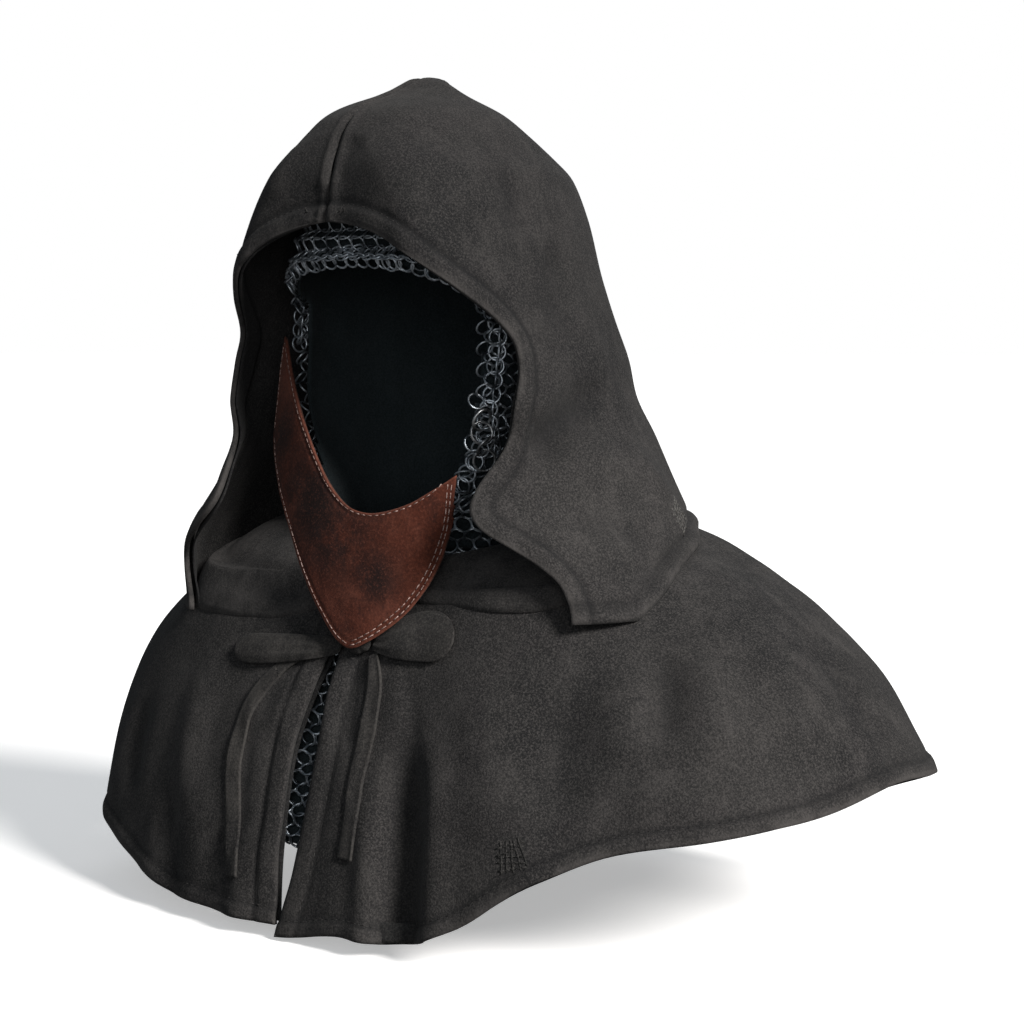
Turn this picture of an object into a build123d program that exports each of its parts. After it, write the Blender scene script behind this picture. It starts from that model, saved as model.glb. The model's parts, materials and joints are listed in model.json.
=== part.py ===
"""Hooded wool mantle worn over a mail coif, with a leather chin flap and a tied throat.

Millimetres, +Z up. The front faces -Y and the wearer's left is +X. The origin is the crown of the
head, inside the lining. Each piece is one layer of cloth, mail or leather, made between two
neighbouring offsets of the same form, so that the layers nest with a named gap.
"""
import math
import os

from build123d import *

os.makedirs("parts", exist_ok=True)

# Layers, from the head outwards
LINING = 3.0
MAIL = 4.0
CLOTH = 3.0
FACING = 1.5
LEATHER = 1.6
BACKING = 1.2
LAYER_GAP = 0.4
OVERRUN = 200.0

# The head and neck inside the lining
HEAD_LENGTH = 255.0
HEAD_HALF_WIDTH = 80.0
HEAD_FRONT = 87.0
HEAD_BACK = 90.0
NECK_CUT_RISE = 10.0
NECK_CUT = HEAD_LENGTH - NECK_CUT_RISE

# Rows: drop, half width, centre forward, front, back, corner size as a share of the half width
HEAD_LEVEL_SHARES = [
    (0.000, 0.175, 0.000, 0.161, 0.120, 0.80),
    (0.016, 0.440, 0.000, 0.437, 0.320, 0.80),
    (0.063, 0.690, 0.000, 0.736, 0.590, 0.80),
    (0.141, 0.855, 0.023, 0.897, 0.780, 0.75),
    (0.235, 0.950, 0.069, 0.977, 0.880, 0.68),
    (0.353, 1.000, 0.161, 1.000, 0.965, 0.60),
    (0.490, 1.000, 0.230, 1.000, 1.000, 0.55),
    (0.627, 0.988, 0.276, 0.989, 0.985, 0.50),
    (0.765, 0.900, 0.138, 0.943, 0.880, 0.65),
    (0.882, 0.825, 0.023, 0.810, 0.820, 0.85),
    (1.000, 0.850, -0.023, 0.730, 0.820, 0.85),
]

# The hood, outside
HOOD_PEAK = 41.0
HOOD_LENGTH = 333.0
HOOD_HALF_WIDTH = 188.0
HOOD_FRONT = 119.0
HOOD_BACK = 152.0
HOOD_LEVEL_SHARES = [
    (0.000, 0.048, 0.151, 0.227, -0.053, 0.85),
    (0.033, 0.149, 0.185, 0.437, 0.033, 0.88),
    (0.069, 0.261, 0.202, 0.706, 0.184, 0.88),
    (0.108, 0.340, 0.193, 0.824, 0.303, 0.85),
    (0.144, 0.388, 0.185, 0.882, 0.447, 0.68),
    (0.183, 0.447, 0.168, 0.924, 0.539, 0.56),
    (0.255, 0.500, 0.168, 0.950, 0.599, 0.45),
    (0.369, 0.553, 0.210, 1.000, 0.678, 0.40),
    (0.441, 0.590, 0.269, 0.992, 0.750, 0.40),
    (0.517, 0.633, 0.336, 0.958, 0.829, 0.38),
    (0.592, 0.660, 0.303, 0.941, 0.855, 0.45),
    (0.667, 0.713, 0.101, 0.975, 0.882, 0.75),
    (0.742, 0.793, 0.050, 1.000, 0.882, 0.75),
    (0.817, 0.875, 0.110, 0.983, 0.934, 0.60),
    (0.910, 0.945, 0.160, 0.945, 0.980, 0.47),
    (1.000, 1.000, 0.170, 0.915, 1.000, 0.43),
]

# The hood's face edge, seen from the front: half widths and drops below the crown
FACE_HALF_WIDTH = 115.0
FACE_DROP = 330.0
FACE_EDGE_SHARES = {
    "brow": (0.000, 0.152),
    "brow_arch": (0.330, 0.173),
    "temple": (0.626, 0.230),
    "cheek_arch": (0.870, 0.312),
    "cheek": (1.000, 0.415),
    "jaw_arch": (0.965, 0.521),
    "jaw": (0.809, 0.627),
    "throat_arch": (0.805, 0.662),
    "throat": (0.904, 0.691),
    "lobe_arch": (1.217, 0.752),
    "lobe": (1.391, 0.855),
    "foot": (1.400, 1.000),
}
FACE_CUT_BACK = 25.0
FACE_FACING_WIDTH = 15.0
FACE_FACING_BACK = 60.0

# The mail's face opening, seen from the front
MAIL_FACE_HALF_WIDTH = 80.0
MAIL_FACE_TOP = 73.0
CHIN_BAND = 21.0
MAIL_FACE_HEIGHT = HEAD_LENGTH - MAIL_FACE_TOP - CHIN_BAND
MAIL_FACE_SHARES = {
    "brow": (0.00, 0.000),
    "brow_arch": (0.45, 0.015),
    "temple": (0.78, 0.075),
    "temple_arch": (0.94, 0.140),
    "cheek": (1.00, 0.250),
    "cheek_foot": (1.00, 0.570),
    "jaw_arch": (0.84, 0.820),
    "chin": (0.00, 1.000),
}
MAIL_FACE_BACK = 35.0
LINING_FACE_MARGIN = 4.0
EDGE_RING_RADIUS = 4.6
EDGE_WIRE_RADIUS = 0.7
EDGE_RING_COUNT = 34

# The cape round the shoulders, in upright planes through its own axis
CAPE_AXIS_BACK = 28.0
NECKLINE_DROP = 250.0
NECKLINE_SLOPE_SHARE = 0.22
NECKLINE_REACH = 174.0
NECKLINE_SHARES = [
    (0, 0.609), (15, 0.638), (30, 0.730), (42, 0.862), (54, 1.000), (64, 0.966), (76, 0.897),
    (90, 0.845), (100, 0.805), (110, 0.753), (120, 0.695), (135, 0.621), (150, 0.563),
    (165, 0.529), (180, 0.517),
]
SHOULDER_FRONT = 156.0
SHOULDER_LEFT = 278.0
SHOULDER_RIGHT = 242.0
SHOULDER_BACK = 170.0
SHOULDER_DROP_FRONT = 365.0
SHOULDER_DROP_SIDE = 326.0
SHOULDER_DROP_BACK = 326.0
HEM_FRONT = 182.0
HEM_LEFT = 312.0
HEM_RIGHT = 268.0
HEM_BACK = 188.0
HEM_DROP = 473.0
FRONT_EDGE_ANGLE = 1.2
HEM_TURN = 11.0
FRONT_FACING_ANGLE = 7.0

# Rows: angle from the front, swell of the folds, drop of the hem
LEFT_FOLD_SHARES = [
    (FRONT_EDGE_ANGLE, 1.000, 1.000), (FRONT_FACING_ANGLE, 1.002, 1.000), (13, 1.010, 1.000),
    (20, 1.020, 0.998), (28, 0.975, 0.985),
    (36, 1.015, 0.950), (44, 1.005, 0.903), (47, 1.000, 0.888), (56, 0.975, 0.852),
    (66, 1.010, 0.826), (78, 1.000, 0.803), (90, 0.995, 0.780), (100, 1.025, 0.774),
    (112, 0.985, 0.800), (126, 1.020, 0.842), (140, 0.975, 0.872), (153, 1.015, 0.893),
    (167, 0.985, 0.907), (180, 1.000, 0.913),
]
RIGHT_FOLD_SHARES = [
    (FRONT_EDGE_ANGLE, 1.000, 0.984), (FRONT_FACING_ANGLE, 1.000, 0.984), (13, 1.000, 0.983),
    (21, 1.000, 0.980), (31, 1.005, 0.975),
    (40, 1.010, 0.960), (48, 0.985, 0.945), (57, 1.010, 0.918), (68, 1.000, 0.896),
    (80, 0.985, 0.872), (91, 1.010, 0.853), (102, 1.003, 0.846), (113, 0.990, 0.843),
    (124, 0.988, 0.846), (135, 1.015, 0.858), (146, 0.990, 0.872), (157, 0.985, 0.886),
    (168, 1.010, 0.900), (180, 1.000, 0.913),
]
ROUND_POWER = 2.3
HALF_SWELL_SHARE = 0.5

# The throat collar, from its top edge out to its rim on the cape
COLLAR_FRONT = 105.0
COLLAR_SIDE = 112.0
COLLAR_BACK = 76.0
COLLAR_DROP_FRONT = 252.0
COLLAR_DROP_SIDE = 226.0
COLLAR_DROP_BACK = 211.0
COLLAR_OVERHANG = 2.0
COLLAR_RISE_SHARE = 0.6
COLLAR_ANGLES = [0, 15, 30, 42, 54, 64, 76, 90, 100, 110, 120, 135, 150, 165, 180]

# The mail over the shoulders, under the cape
MAIL_UNDER_CAPE = 8.0
MAIL_HEM_SHARES = [(0, 0.890), (40, 0.830), (75, 0.740), (110, 0.735), (150, 0.780), (180, 0.795)]

# The leather chin flap, an upright bow that leans out towards its tip
FLAP_RADIUS = 176.0
FLAP_HALF_WIDTH = 88.0
FLAP_TOP = 119.0
FLAP_DEPTH = 183.0
FLAP_TIP_FRONT = 113.5
FLAP_LEAN_DEGREES = 10.1
FLAP_EDGE_SHARES = {
    "temple": (-0.99, 0.000),
    "temple_edge": (-0.60, 0.235),
    "lip_right": (-0.10, 0.505),
    "lip": (0.20, 0.563),
    "lip_left": (0.52, 0.530),
    "corner": (0.81, 0.440),
    "left_edge": (0.815, 0.705),
    "left_round": (0.60, 0.880),
    "tip": (0.205, 1.000),
    "right_round": (-0.17, 0.880),
    "right_edge": (-0.56, 0.645),
    "right_jaw": (-0.955, 0.370),
}
FASTENING_RING_RADIUS = 7.0
FASTENING_WIRE_RADIUS = 1.0
FASTENING_RING_PLACES = [(79.5, -170.0), (77.0, -188.0)]

# The tie at the throat, lying on the cape
RIBBON_WIDTH = 11.0
RIBBON = 1.5
RIBBON_CLEARANCE = 0.45
LOOP_CLEARANCE = 0.95
KNOT_WIDTH = 20.0
KNOT_HEIGHT = 12.0
KNOT_DEPTH = 7.6
KNOT_X = 15.0
KNOT_FRONT = 107.9
KNOT_BELOW_NECKLINE = 50.0
KNOT_DROP = NECKLINE_DROP + KNOT_BELOW_NECKLINE
KNOT_TILT_DEGREES = -20.0
KNOT_EDGE = 2.0
LOOP_THICKNESS = 3.2
LEFT_TAIL_BELOW_KNOT = 8.0
LEFT_TAIL_DROP = KNOT_DROP + LEFT_TAIL_BELOW_KNOT
LEFT_TAIL_LENGTH = 113.0
LEFT_TAIL_SHARES = [(0.00, 0.24), (0.12, 0.30), (0.34, 0.34), (0.60, 0.35), (0.80, 0.37), (1.00, 0.38)]
RIGHT_TAIL_BELOW_KNOT = 20.0
RIGHT_TAIL_DROP = KNOT_DROP + RIGHT_TAIL_BELOW_KNOT
RIGHT_TAIL_LENGTH = 122.0
RIGHT_TAIL_SHARES = [(0.00, -0.34), (0.15, -0.46), (0.30, -0.50), (0.50, -0.49), (0.75, -0.43), (1.00, -0.37)]
LEFT_LOOP_RISE = 19.0
LEFT_LOOP_DROP = KNOT_DROP - LEFT_LOOP_RISE
LEFT_LOOP_LENGTH = 60.0
LEFT_LOOP_HEIGHT = 28.0
LEFT_LOOP_SHARES = [(0.00, 0.97, 1.27), (0.14, 0.86, 1.36), (0.34, 0.62, 1.43), (0.60, 0.46, 1.45), (0.84, 0.62, 1.38), (1.00, 0.93, 1.20)]
RIGHT_LOOP_RISE = 1.0
RIGHT_LOOP_DROP = KNOT_DROP - RIGHT_LOOP_RISE
RIGHT_LOOP_LENGTH = 84.0
RIGHT_LOOP_HEIGHT = 19.0
RIGHT_LOOP_SHARES = [(0.00, -0.62, -0.14), (0.25, -0.86, 0.03), (0.50, -0.97, 0.03), (0.78, -1.00, -0.30), (1.00, -0.94, -0.62)]

# The darned places
DARN_THREAD = 1.0
DARN_CLEARANCE = 0.4
DARN_PITCH = 3.2
HOOD_DARN_DROP = 215.0
HOOD_DARN_BACK = 66.0
HOOD_DARN_SIZE = 18.0
HOOD_DARN_THREADS = 5
CAPE_DARN_ANGLES = [44, 47]
CAPE_DARN_RISE = 24.0
CAPE_DARN_THREADS = 4


def plan_outline(row, sizes, grow):
    """Draws a plan outline: flat front, rounded corners and a back of three arcs."""
    _, half_width, front, back = sizes
    _, width_share, centre_share, front_share, back_share, corner_share = row
    width = half_width * width_share + grow
    centre = -front * centre_share
    front_end = -front * front_share - grow
    back_end = back * back_share + grow
    corner = width * corner_share
    flat = width - corner
    with BuildLine() as outline:
        Line((-flat, front_end), (flat, front_end))
        EllipticalCenterArc((flat, centre), corner, centre - front_end, start_angle=270, arc_size=90)
        for turn in (0, 60, 120):
            EllipticalCenterArc((0, centre), width, back_end - centre, start_angle=turn, arc_size=60)
        EllipticalCenterArc((-flat, centre), corner, centre - front_end, start_angle=180, arc_size=90)
    make_face(outline.edges())


def level_form(rows, sizes, top, grow):
    """Lofts a form through its plan outlines, all moved out by grow."""
    with BuildPart() as form:
        for row in rows:
            with BuildSketch(Plane.XY.offset(top - sizes[0] * row[0] + grow)):
                plan_outline(row, sizes, grow)
        loft(ruled=True)
    return form.part


def level_shell(rows, sizes, top, outer, inner):
    """The layer between two offsets of a form."""
    with BuildPart() as shell:
        add(level_form(rows, sizes, top, outer))
        add(level_form(rows, sizes, top, inner), mode=Mode.SUBTRACT)
    return shell.part


HEAD_SIZES = (HEAD_LENGTH, HEAD_HALF_WIDTH, HEAD_FRONT, HEAD_BACK)
HOOD_SIZES = (HOOD_LENGTH, HOOD_HALF_WIDTH, HOOD_FRONT, HOOD_BACK)
MAIL_INNER = LINING + LAYER_GAP
MAIL_OUTER = MAIL_INNER + MAIL


def blend(front, side, back, angle):
    """A value that runs from front to side to back around the body."""
    facing = math.cos(math.radians(angle))
    end = front if facing > 0 else back
    return side + (end - side) * abs(facing) ** 1.5


def reach(front, side, back, angle):
    """How far a rounded outline reaches from the cape's axis at an angle from the front."""
    sine = abs(math.sin(math.radians(angle)))
    cosine = math.cos(math.radians(angle))
    end = front if cosine > 0 else back
    return ((sine / side) ** ROUND_POWER + (abs(cosine) / end) ** ROUND_POWER) ** (-1 / ROUND_POWER)


def between(rows, angle, column):
    """A column of a table of angles, read between its rows."""
    for low, high in zip(rows, rows[1:]):
        if low[0] <= angle <= high[0]:
            share = (angle - low[0]) / (high[0] - low[0])
            return low[column] + share * (high[column] - low[column])
    return rows[-1][column] if angle > rows[-1][0] else rows[0][column]


def neckline(angle):
    """The cape's neckline at an angle, as (reach, height)."""
    out = NECKLINE_REACH * between(NECKLINE_SHARES, angle, 1)
    back = CAPE_AXIS_BACK - out * math.cos(math.radians(angle))
    return out, -NECKLINE_DROP + NECKLINE_SLOPE_SHARE * back


def cape_line(angle, side):
    """The cape's outer line at an angle: neckline, shoulder and hem, as (reach, height)."""
    rows = LEFT_FOLD_SHARES if side > 0 else RIGHT_FOLD_SHARES
    swell = between(rows, angle, 1)
    shoulder_side = SHOULDER_LEFT if side > 0 else SHOULDER_RIGHT
    hem_side = HEM_LEFT if side > 0 else HEM_RIGHT
    half_swell = 1 + (swell - 1) * HALF_SWELL_SHARE
    shoulder = (
        reach(SHOULDER_FRONT, shoulder_side, SHOULDER_BACK, angle) * half_swell,
        -blend(SHOULDER_DROP_FRONT, SHOULDER_DROP_SIDE, SHOULDER_DROP_BACK, angle),
    )
    hem = (
        reach(HEM_FRONT, hem_side, HEM_BACK, angle) * swell,
        -HEM_DROP * between(rows, angle, 2),
    )
    return [neckline(angle), shoulder, hem]


def circle_of(points):
    """Centre and radius of the circle through three points."""
    (ax, ay), (bx, by), (cx, cy) = points
    scale = 2 * (ax * (by - cy) + bx * (cy - ay) + cx * (ay - by))
    a_square, b_square, c_square = ax**2 + ay**2, bx**2 + by**2, cx**2 + cy**2
    x = (a_square * (by - cy) + b_square * (cy - ay) + c_square * (ay - by)) / scale
    y = (a_square * (cx - bx) + b_square * (ax - cx) + c_square * (bx - ax)) / scale
    return x, y, math.hypot(ax - x, ay - y)


def moved_out(points, distance):
    """Three points of a line moved away from the body, square to the line."""
    x, y, radius = circle_of(points)
    outward = 1 if points[1][0] > x else -1
    share = 1 + outward * distance / radius
    return [(x + (px - x) * share, y + (py - y) * share) for px, py in points]


def at_height(points, height):
    """The reach of the line at a height."""
    x, y, radius = circle_of(points)
    outward = 1 if points[1][0] > x else -1
    return x + outward * math.sqrt(radius**2 - (height - y) ** 2)


def stretch(points, top, foot):
    """The part of the line between two heights, again as three points."""
    heights = (top, (top + foot) / 2, foot)
    return [(at_height(points, height), height) for height in heights]


def fan_plane(angle, side):
    """The upright plane through the cape's axis at an angle from the front, on one side."""
    turn = math.radians(angle * side)
    return Plane(
        origin=(0, CAPE_AXIS_BACK, 0),
        x_dir=(math.sin(turn), -math.cos(turn), 0),
        z_dir=(-math.cos(turn), -math.sin(turn), 0),
    )


def fan(angles, side, lines):
    """Lofts a layer through upright planes; lines gives its outer and inner points at an angle."""
    with BuildPart() as layer:
        for angle in angles:
            outer, inner = lines(angle)
            with BuildSketch(fan_plane(angle, side)):
                with BuildLine():
                    ThreePointArc(*outer)
                    Line(outer[2], inner[2])
                    ThreePointArc(inner[2], inner[1], inner[0])
                    Line(inner[0], outer[0])
                make_face()
        loft(ruled=True)
    return layer.part


def fold_angles(side):
    """The angles of the cape's sections on one side."""
    return [row[0] for row in (LEFT_FOLD_SHARES if side > 0 else RIGHT_FOLD_SHARES)]


def face_profile(shares, half_width, drop):
    """The points of a face edge, as (half width, height), from its table of shares."""
    return {name: (half_width * x, -drop * z) for name, (x, z) in shares.items()}


def hood_face_edge():
    """Draws the hood's face edge and closes it below, over both sides."""
    p = face_profile(FACE_EDGE_SHARES, FACE_HALF_WIDTH, FACE_DROP)
    with BuildLine() as edge:
        ThreePointArc(p["brow"], p["brow_arch"], p["temple"])
        ThreePointArc(p["temple"], p["cheek_arch"], p["cheek"])
        ThreePointArc(p["cheek"], p["jaw_arch"], p["jaw"])
        ThreePointArc(p["jaw"], p["throat_arch"], p["throat"])
        ThreePointArc(p["throat"], p["lobe_arch"], p["lobe"])
        Line(p["lobe"], p["foot"])
        Line(p["foot"], (0, p["foot"][1]))
        mirror(about=Plane.YZ)
    make_face(edge.edges())


def mail_face_edge():
    """Draws the oval opening for the face in the mail."""
    shares = {name: (x, z * MAIL_FACE_HEIGHT) for name, (x, z) in MAIL_FACE_SHARES.items()}
    p = {n: (x * MAIL_FACE_HALF_WIDTH, -MAIL_FACE_TOP - z) for n, (x, z) in shares.items()}
    with BuildLine() as edge:
        ThreePointArc(p["brow"], p["brow_arch"], p["temple"])
        ThreePointArc(p["temple"], p["temple_arch"], p["cheek"])
        Line(p["cheek"], p["cheek_foot"])
        ThreePointArc(p["cheek_foot"], p["jaw_arch"], p["chin"])
        mirror(about=Plane.YZ)
    make_face(edge.edges())


# Face openings as tools, each a prism that runs forward from behind the face edge
with BuildPart() as hood_face_tool:
    with BuildSketch(Plane.XZ.offset(FACE_CUT_BACK)):
        hood_face_edge()
    extrude(amount=OVERRUN)

with BuildPart() as facing_band_tool:
    with BuildSketch(Plane.XZ.offset(FACE_FACING_BACK)):
        hood_face_edge()
        offset(amount=FACE_FACING_WIDTH, mode=Mode.REPLACE)
    extrude(amount=OVERRUN)

with BuildPart() as mail_face_tool:
    with BuildSketch(Plane.XZ.offset(MAIL_FACE_BACK)):
        mail_face_edge()
    extrude(amount=OVERRUN)

with BuildPart() as lining_face_tool:
    with BuildSketch(Plane.XZ.offset(MAIL_FACE_BACK)):
        mail_face_edge()
        offset(amount=LINING_FACE_MARGIN, mode=Mode.REPLACE)
    extrude(amount=OVERRUN)

with BuildPart() as below_neck_tool:
    with BuildSketch(Plane.XY.offset(-NECK_CUT)):
        Rectangle(4 * HEAD_FRONT, 4 * HEAD_FRONT)
    extrude(amount=-OVERRUN)


# The lining cap and the mail over the head, both open at the face and cut at the neck
def head_layer(outer, inner, face_tool):
    """A layer over the head between two offsets, with its face opening."""
    with BuildPart() as layer:
        add(level_shell(HEAD_LEVEL_SHARES, HEAD_SIZES, 0, outer, inner))
        add(face_tool, mode=Mode.SUBTRACT)
        add(below_neck_tool.part, mode=Mode.SUBTRACT)
    return layer.part


with BuildPart() as lining_cap:
    add(head_layer(LINING, 0, lining_face_tool.part))
lining_cap.part.label = "lining_cap"
export_step(lining_cap.part, "parts/lining_cap.step")

with BuildPart() as mail_head:
    add(head_layer(MAIL_OUTER, MAIL_INNER, mail_face_tool.part))
mail_head.part.label = "mail_head"
export_step(mail_head.part, "parts/mail_head.step")


def neck_reach(angle, grow):
    """How far the neck reaches from the cape's axis at an angle."""
    width = HEAD_HALF_WIDTH * HEAD_LEVEL_SHARES[-1][1] + grow
    front = HEAD_FRONT * HEAD_LEVEL_SHARES[-1][3] + grow
    back = HEAD_BACK * HEAD_LEVEL_SHARES[-1][4] + grow
    depth = (front + back) / 2
    offset_back = CAPE_AXIS_BACK - (back - front) / 2
    sine, cosine = math.sin(math.radians(angle)), math.cos(math.radians(angle))
    a = (sine / width) ** 2 + (cosine / depth) ** 2
    b = -2 * cosine * offset_back / depth**2
    c = (offset_back / depth) ** 2 - 1
    return (-b + math.sqrt(b**2 - 4 * a * c)) / (2 * a)


# The mail over the shoulders: from the neck out under the collar, then down under the cape
def shoulder_mail(side):
    """One half of the mail over the shoulders."""
    with BuildPart() as mail:
        for angle in fold_angles(side):
            under = moved_out(cape_line(angle, side), -MAIL_UNDER_CAPE)
            foot = -HEM_DROP * between(MAIL_HEM_SHARES, angle, 1)
            outer = stretch(under, under[0][1], foot)
            inner = stretch(moved_out(under, -MAIL), under[0][1] - MAIL, foot)
            neck_outer = (neck_reach(angle, MAIL_OUTER), -NECK_CUT - LAYER_GAP)
            run = math.hypot(outer[0][0] - neck_outer[0], outer[0][1] - neck_outer[1])
            down_x = (outer[0][1] - neck_outer[1]) / run * MAIL
            down_y = (outer[0][0] - neck_outer[0]) / run * MAIL
            neck_inner = (neck_outer[0] + down_x, neck_outer[1] - down_y)
            with BuildSketch(fan_plane(angle, side)):
                with BuildLine():
                    Line(neck_outer, outer[0])
                    ThreePointArc(*outer)
                    Line(outer[2], inner[2])
                    ThreePointArc(inner[2], inner[1], inner[0])
                    Line(inner[0], neck_inner)
                    Line(neck_inner, neck_outer)
                make_face()
        loft(ruled=True)
    return mail.part


for name, side in (("mail_mantle_left", 1), ("mail_mantle_right", -1)):
    with BuildPart() as mail_mantle:
        add(shoulder_mail(side))
    mail_mantle.part.label = name
    export_step(mail_mantle.part, f"parts/{name}.step")


# The cape halves, their turned hems and the strips behind their front edges
def cape_layer(angles, side, outer, inner, top=None, foot_rise=0):
    """A layer of the cape between two offsets, whole or only near its hem."""

    def lines(angle):
        line = cape_line(angle, side)
        foot = line[2][1] + foot_rise
        pair = []
        for distance in (outer, inner):
            out = moved_out(line, distance)
            start = out[0][1] if top is None else foot + top
            pair.append(stretch(out, start, foot))
        return pair

    return fan(angles, side, lines)


UNDER_CLOTH = -CLOTH - LAYER_GAP
for name, side in (("left", 1), ("right", -1)):
    angles = fold_angles(side)
    with BuildPart() as mantle:
        add(fan(angles, side, lambda angle: (cape_line(angle, side), moved_out(cape_line(angle, side), -CLOTH))))
    mantle.part.label = f"mantle_{name}"
    export_step(mantle.part, f"parts/mantle_{name}.step")

    with BuildPart() as front_facing:
        add(cape_layer([FRONT_EDGE_ANGLE, FRONT_FACING_ANGLE], side, UNDER_CLOTH, UNDER_CLOTH - FACING, foot_rise=FACING))
    front_facing.part.label = f"front_facing_{name}"
    export_step(front_facing.part, f"parts/front_facing_{name}.step")

    with BuildPart() as mantle_hem:
        hem_angles = [angle for angle in angles if angle >= FRONT_FACING_ANGLE]
        middle = len(hem_angles) // 2
        for run in (hem_angles[: middle + 1], hem_angles[middle:]):
            add(cape_layer(run, side, UNDER_CLOTH, UNDER_CLOTH - FACING, top=HEM_TURN, foot_rise=FACING))
    mantle_hem.part.label = f"mantle_hem_{name}"
    export_step(mantle_hem.part, f"parts/mantle_hem_{name}.step")


# The throat collar, inside the hood, with its rim lapped over the cape's neckline
def collar_line(angle, side):
    """The collar's outer line at an angle: top edge, bend and rim."""
    edge_reach, edge_height = neckline(angle)
    rim = (edge_reach + COLLAR_OVERHANG, edge_height + CLOTH + LAYER_GAP / 2)
    top = (
        reach(COLLAR_FRONT, COLLAR_SIDE, COLLAR_BACK, angle),
        -blend(COLLAR_DROP_FRONT, COLLAR_DROP_SIDE, COLLAR_DROP_BACK, angle),
    )
    bend = (
        (top[0] + rim[0]) / 2 + 2 * LAYER_GAP,
        rim[1] + (top[1] - rim[1]) * COLLAR_RISE_SHARE,
    )
    return [top, bend, rim]


for name, side in (("left", 1), ("right", -1)):
    with BuildPart() as collar:
        add(fan(COLLAR_ANGLES, side, lambda angle: (collar_line(angle, side), moved_out(collar_line(angle, side), -CLOTH))))
    collar.part.label = f"throat_collar_{name}"
    export_step(collar.part, f"parts/throat_collar_{name}.step")


# The hood halves stand on the cape, so the room below the cape's face is cut from them
def below_cape(side):
    """One half of the room under the cape's outer face, out to past the hood's rim."""
    core = SHOULDER_BACK / 8
    with BuildPart() as room:
        for angle in [0] + fold_angles(side)[1:]:
            line = moved_out(cape_line(angle, side), LAYER_GAP)
            with BuildSketch(fan_plane(angle, side)):
                with BuildLine():
                    ThreePointArc(*line)
                    Line(line[2], (core, line[2][1]))
                    Line((core, line[2][1]), (core, line[0][1]))
                    Line((core, line[0][1]), line[0])
                make_face()
        loft(ruled=True)
    return room.part


with BuildPart() as hood_cloth:
    add(level_shell(HOOD_LEVEL_SHARES, HOOD_SIZES, HOOD_PEAK, 0, -CLOTH))
    add(hood_face_tool.part, mode=Mode.SUBTRACT)

with BuildPart() as facing_cloth:
    add(level_shell(HOOD_LEVEL_SHARES, HOOD_SIZES, HOOD_PEAK, UNDER_CLOTH, UNDER_CLOTH - FACING))
    add(facing_band_tool.part, mode=Mode.INTERSECT)
    add(hood_face_tool.part, mode=Mode.SUBTRACT)

for name, side in (("left", 1), ("right", -1)):
    room = below_cape(side)
    with BuildPart() as hood:
        add(hood_cloth.part)
        split(bisect_by=Plane.YZ, keep=Keep.TOP if side > 0 else Keep.BOTTOM)
        add(room, mode=Mode.SUBTRACT)
    hood.part.label = f"hood_{name}"
    export_step(hood.part, f"parts/hood_{name}.step")

    with BuildPart() as face_facing:
        add(facing_cloth.part)
        split(bisect_by=Plane.YZ, keep=Keep.TOP if side > 0 else Keep.BOTTOM)
        add(room, mode=Mode.SUBTRACT)
    face_facing.part.label = f"face_facing_{name}"
    export_step(face_facing.part, f"parts/face_facing_{name}.step")


# The leather chin flap and its backing, cut from an upright bow by the flap's outline
def flap_outline():
    """Draws the flap's outline as it is seen from the front."""
    p = {n: (FLAP_HALF_WIDTH * x, -FLAP_TOP - FLAP_DEPTH * z) for n, (x, z) in FLAP_EDGE_SHARES.items()}
    with BuildLine() as edge:
        ThreePointArc(p["temple"], p["temple_edge"], p["lip_right"])
        ThreePointArc(p["lip_right"], p["lip"], p["lip_left"])
        Line(p["lip_left"], p["corner"])
        Line(p["corner"], p["left_edge"])
        ThreePointArc(p["left_edge"], p["left_round"], p["tip"])
        ThreePointArc(p["tip"], p["right_round"], p["right_edge"])
        ThreePointArc(p["right_edge"], p["right_jaw"], p["temple"])
    make_face(edge.edges())


def flap_layer(front, thickness):
    """A layer of the flap whose outer face is front behind the flap's own outer face."""
    lean = math.radians(FLAP_LEAN_DEGREES)
    foot = FLAP_TOP + FLAP_DEPTH
    with BuildPart() as layer:
        with BuildSketch(Plane.XY.offset(-foot)):
            with Locations((0, FLAP_RADIUS - FLAP_TIP_FRONT)):
                Circle(FLAP_RADIUS - front)
                Circle(FLAP_RADIUS - front - thickness, mode=Mode.SUBTRACT)
        extrude(amount=FLAP_DEPTH / math.cos(lean), dir=(0, math.sin(lean), math.cos(lean)))
        with BuildSketch(Plane.XZ):
            flap_outline()
        extrude(amount=OVERRUN, mode=Mode.INTERSECT)
    return layer.part


with BuildPart() as chin_flap:
    add(flap_layer(0, LEATHER))
chin_flap.part.label = "chin_flap"
export_step(chin_flap.part, "parts/chin_flap.step")

with BuildPart() as chin_flap_backing:
    add(flap_layer(LEATHER, BACKING))
chin_flap_backing.part.label = "chin_flap_backing"
export_step(chin_flap_backing.part, "parts/chin_flap_backing.step")


# Rings at the mail's face edge, and the larger rings by the flap's corner
def mail_front(x, height):
    """How far forward the mail's outer face lies at a half width and a height."""
    drop = (MAIL_OUTER - height) / HEAD_LENGTH
    rows = HEAD_LEVEL_SHARES
    width = HEAD_HALF_WIDTH * between(rows, drop, 1) + MAIL_OUTER
    centre = -HEAD_FRONT * between(rows, drop, 2)
    front_end = -HEAD_FRONT * between(rows, drop, 3) - MAIL_OUTER
    corner = width * between(rows, drop, 5)
    along = min(max((abs(x) - width + corner) / corner, 0), 1)
    return centre - (centre - front_end) * math.sqrt(1 - along**2)


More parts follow.
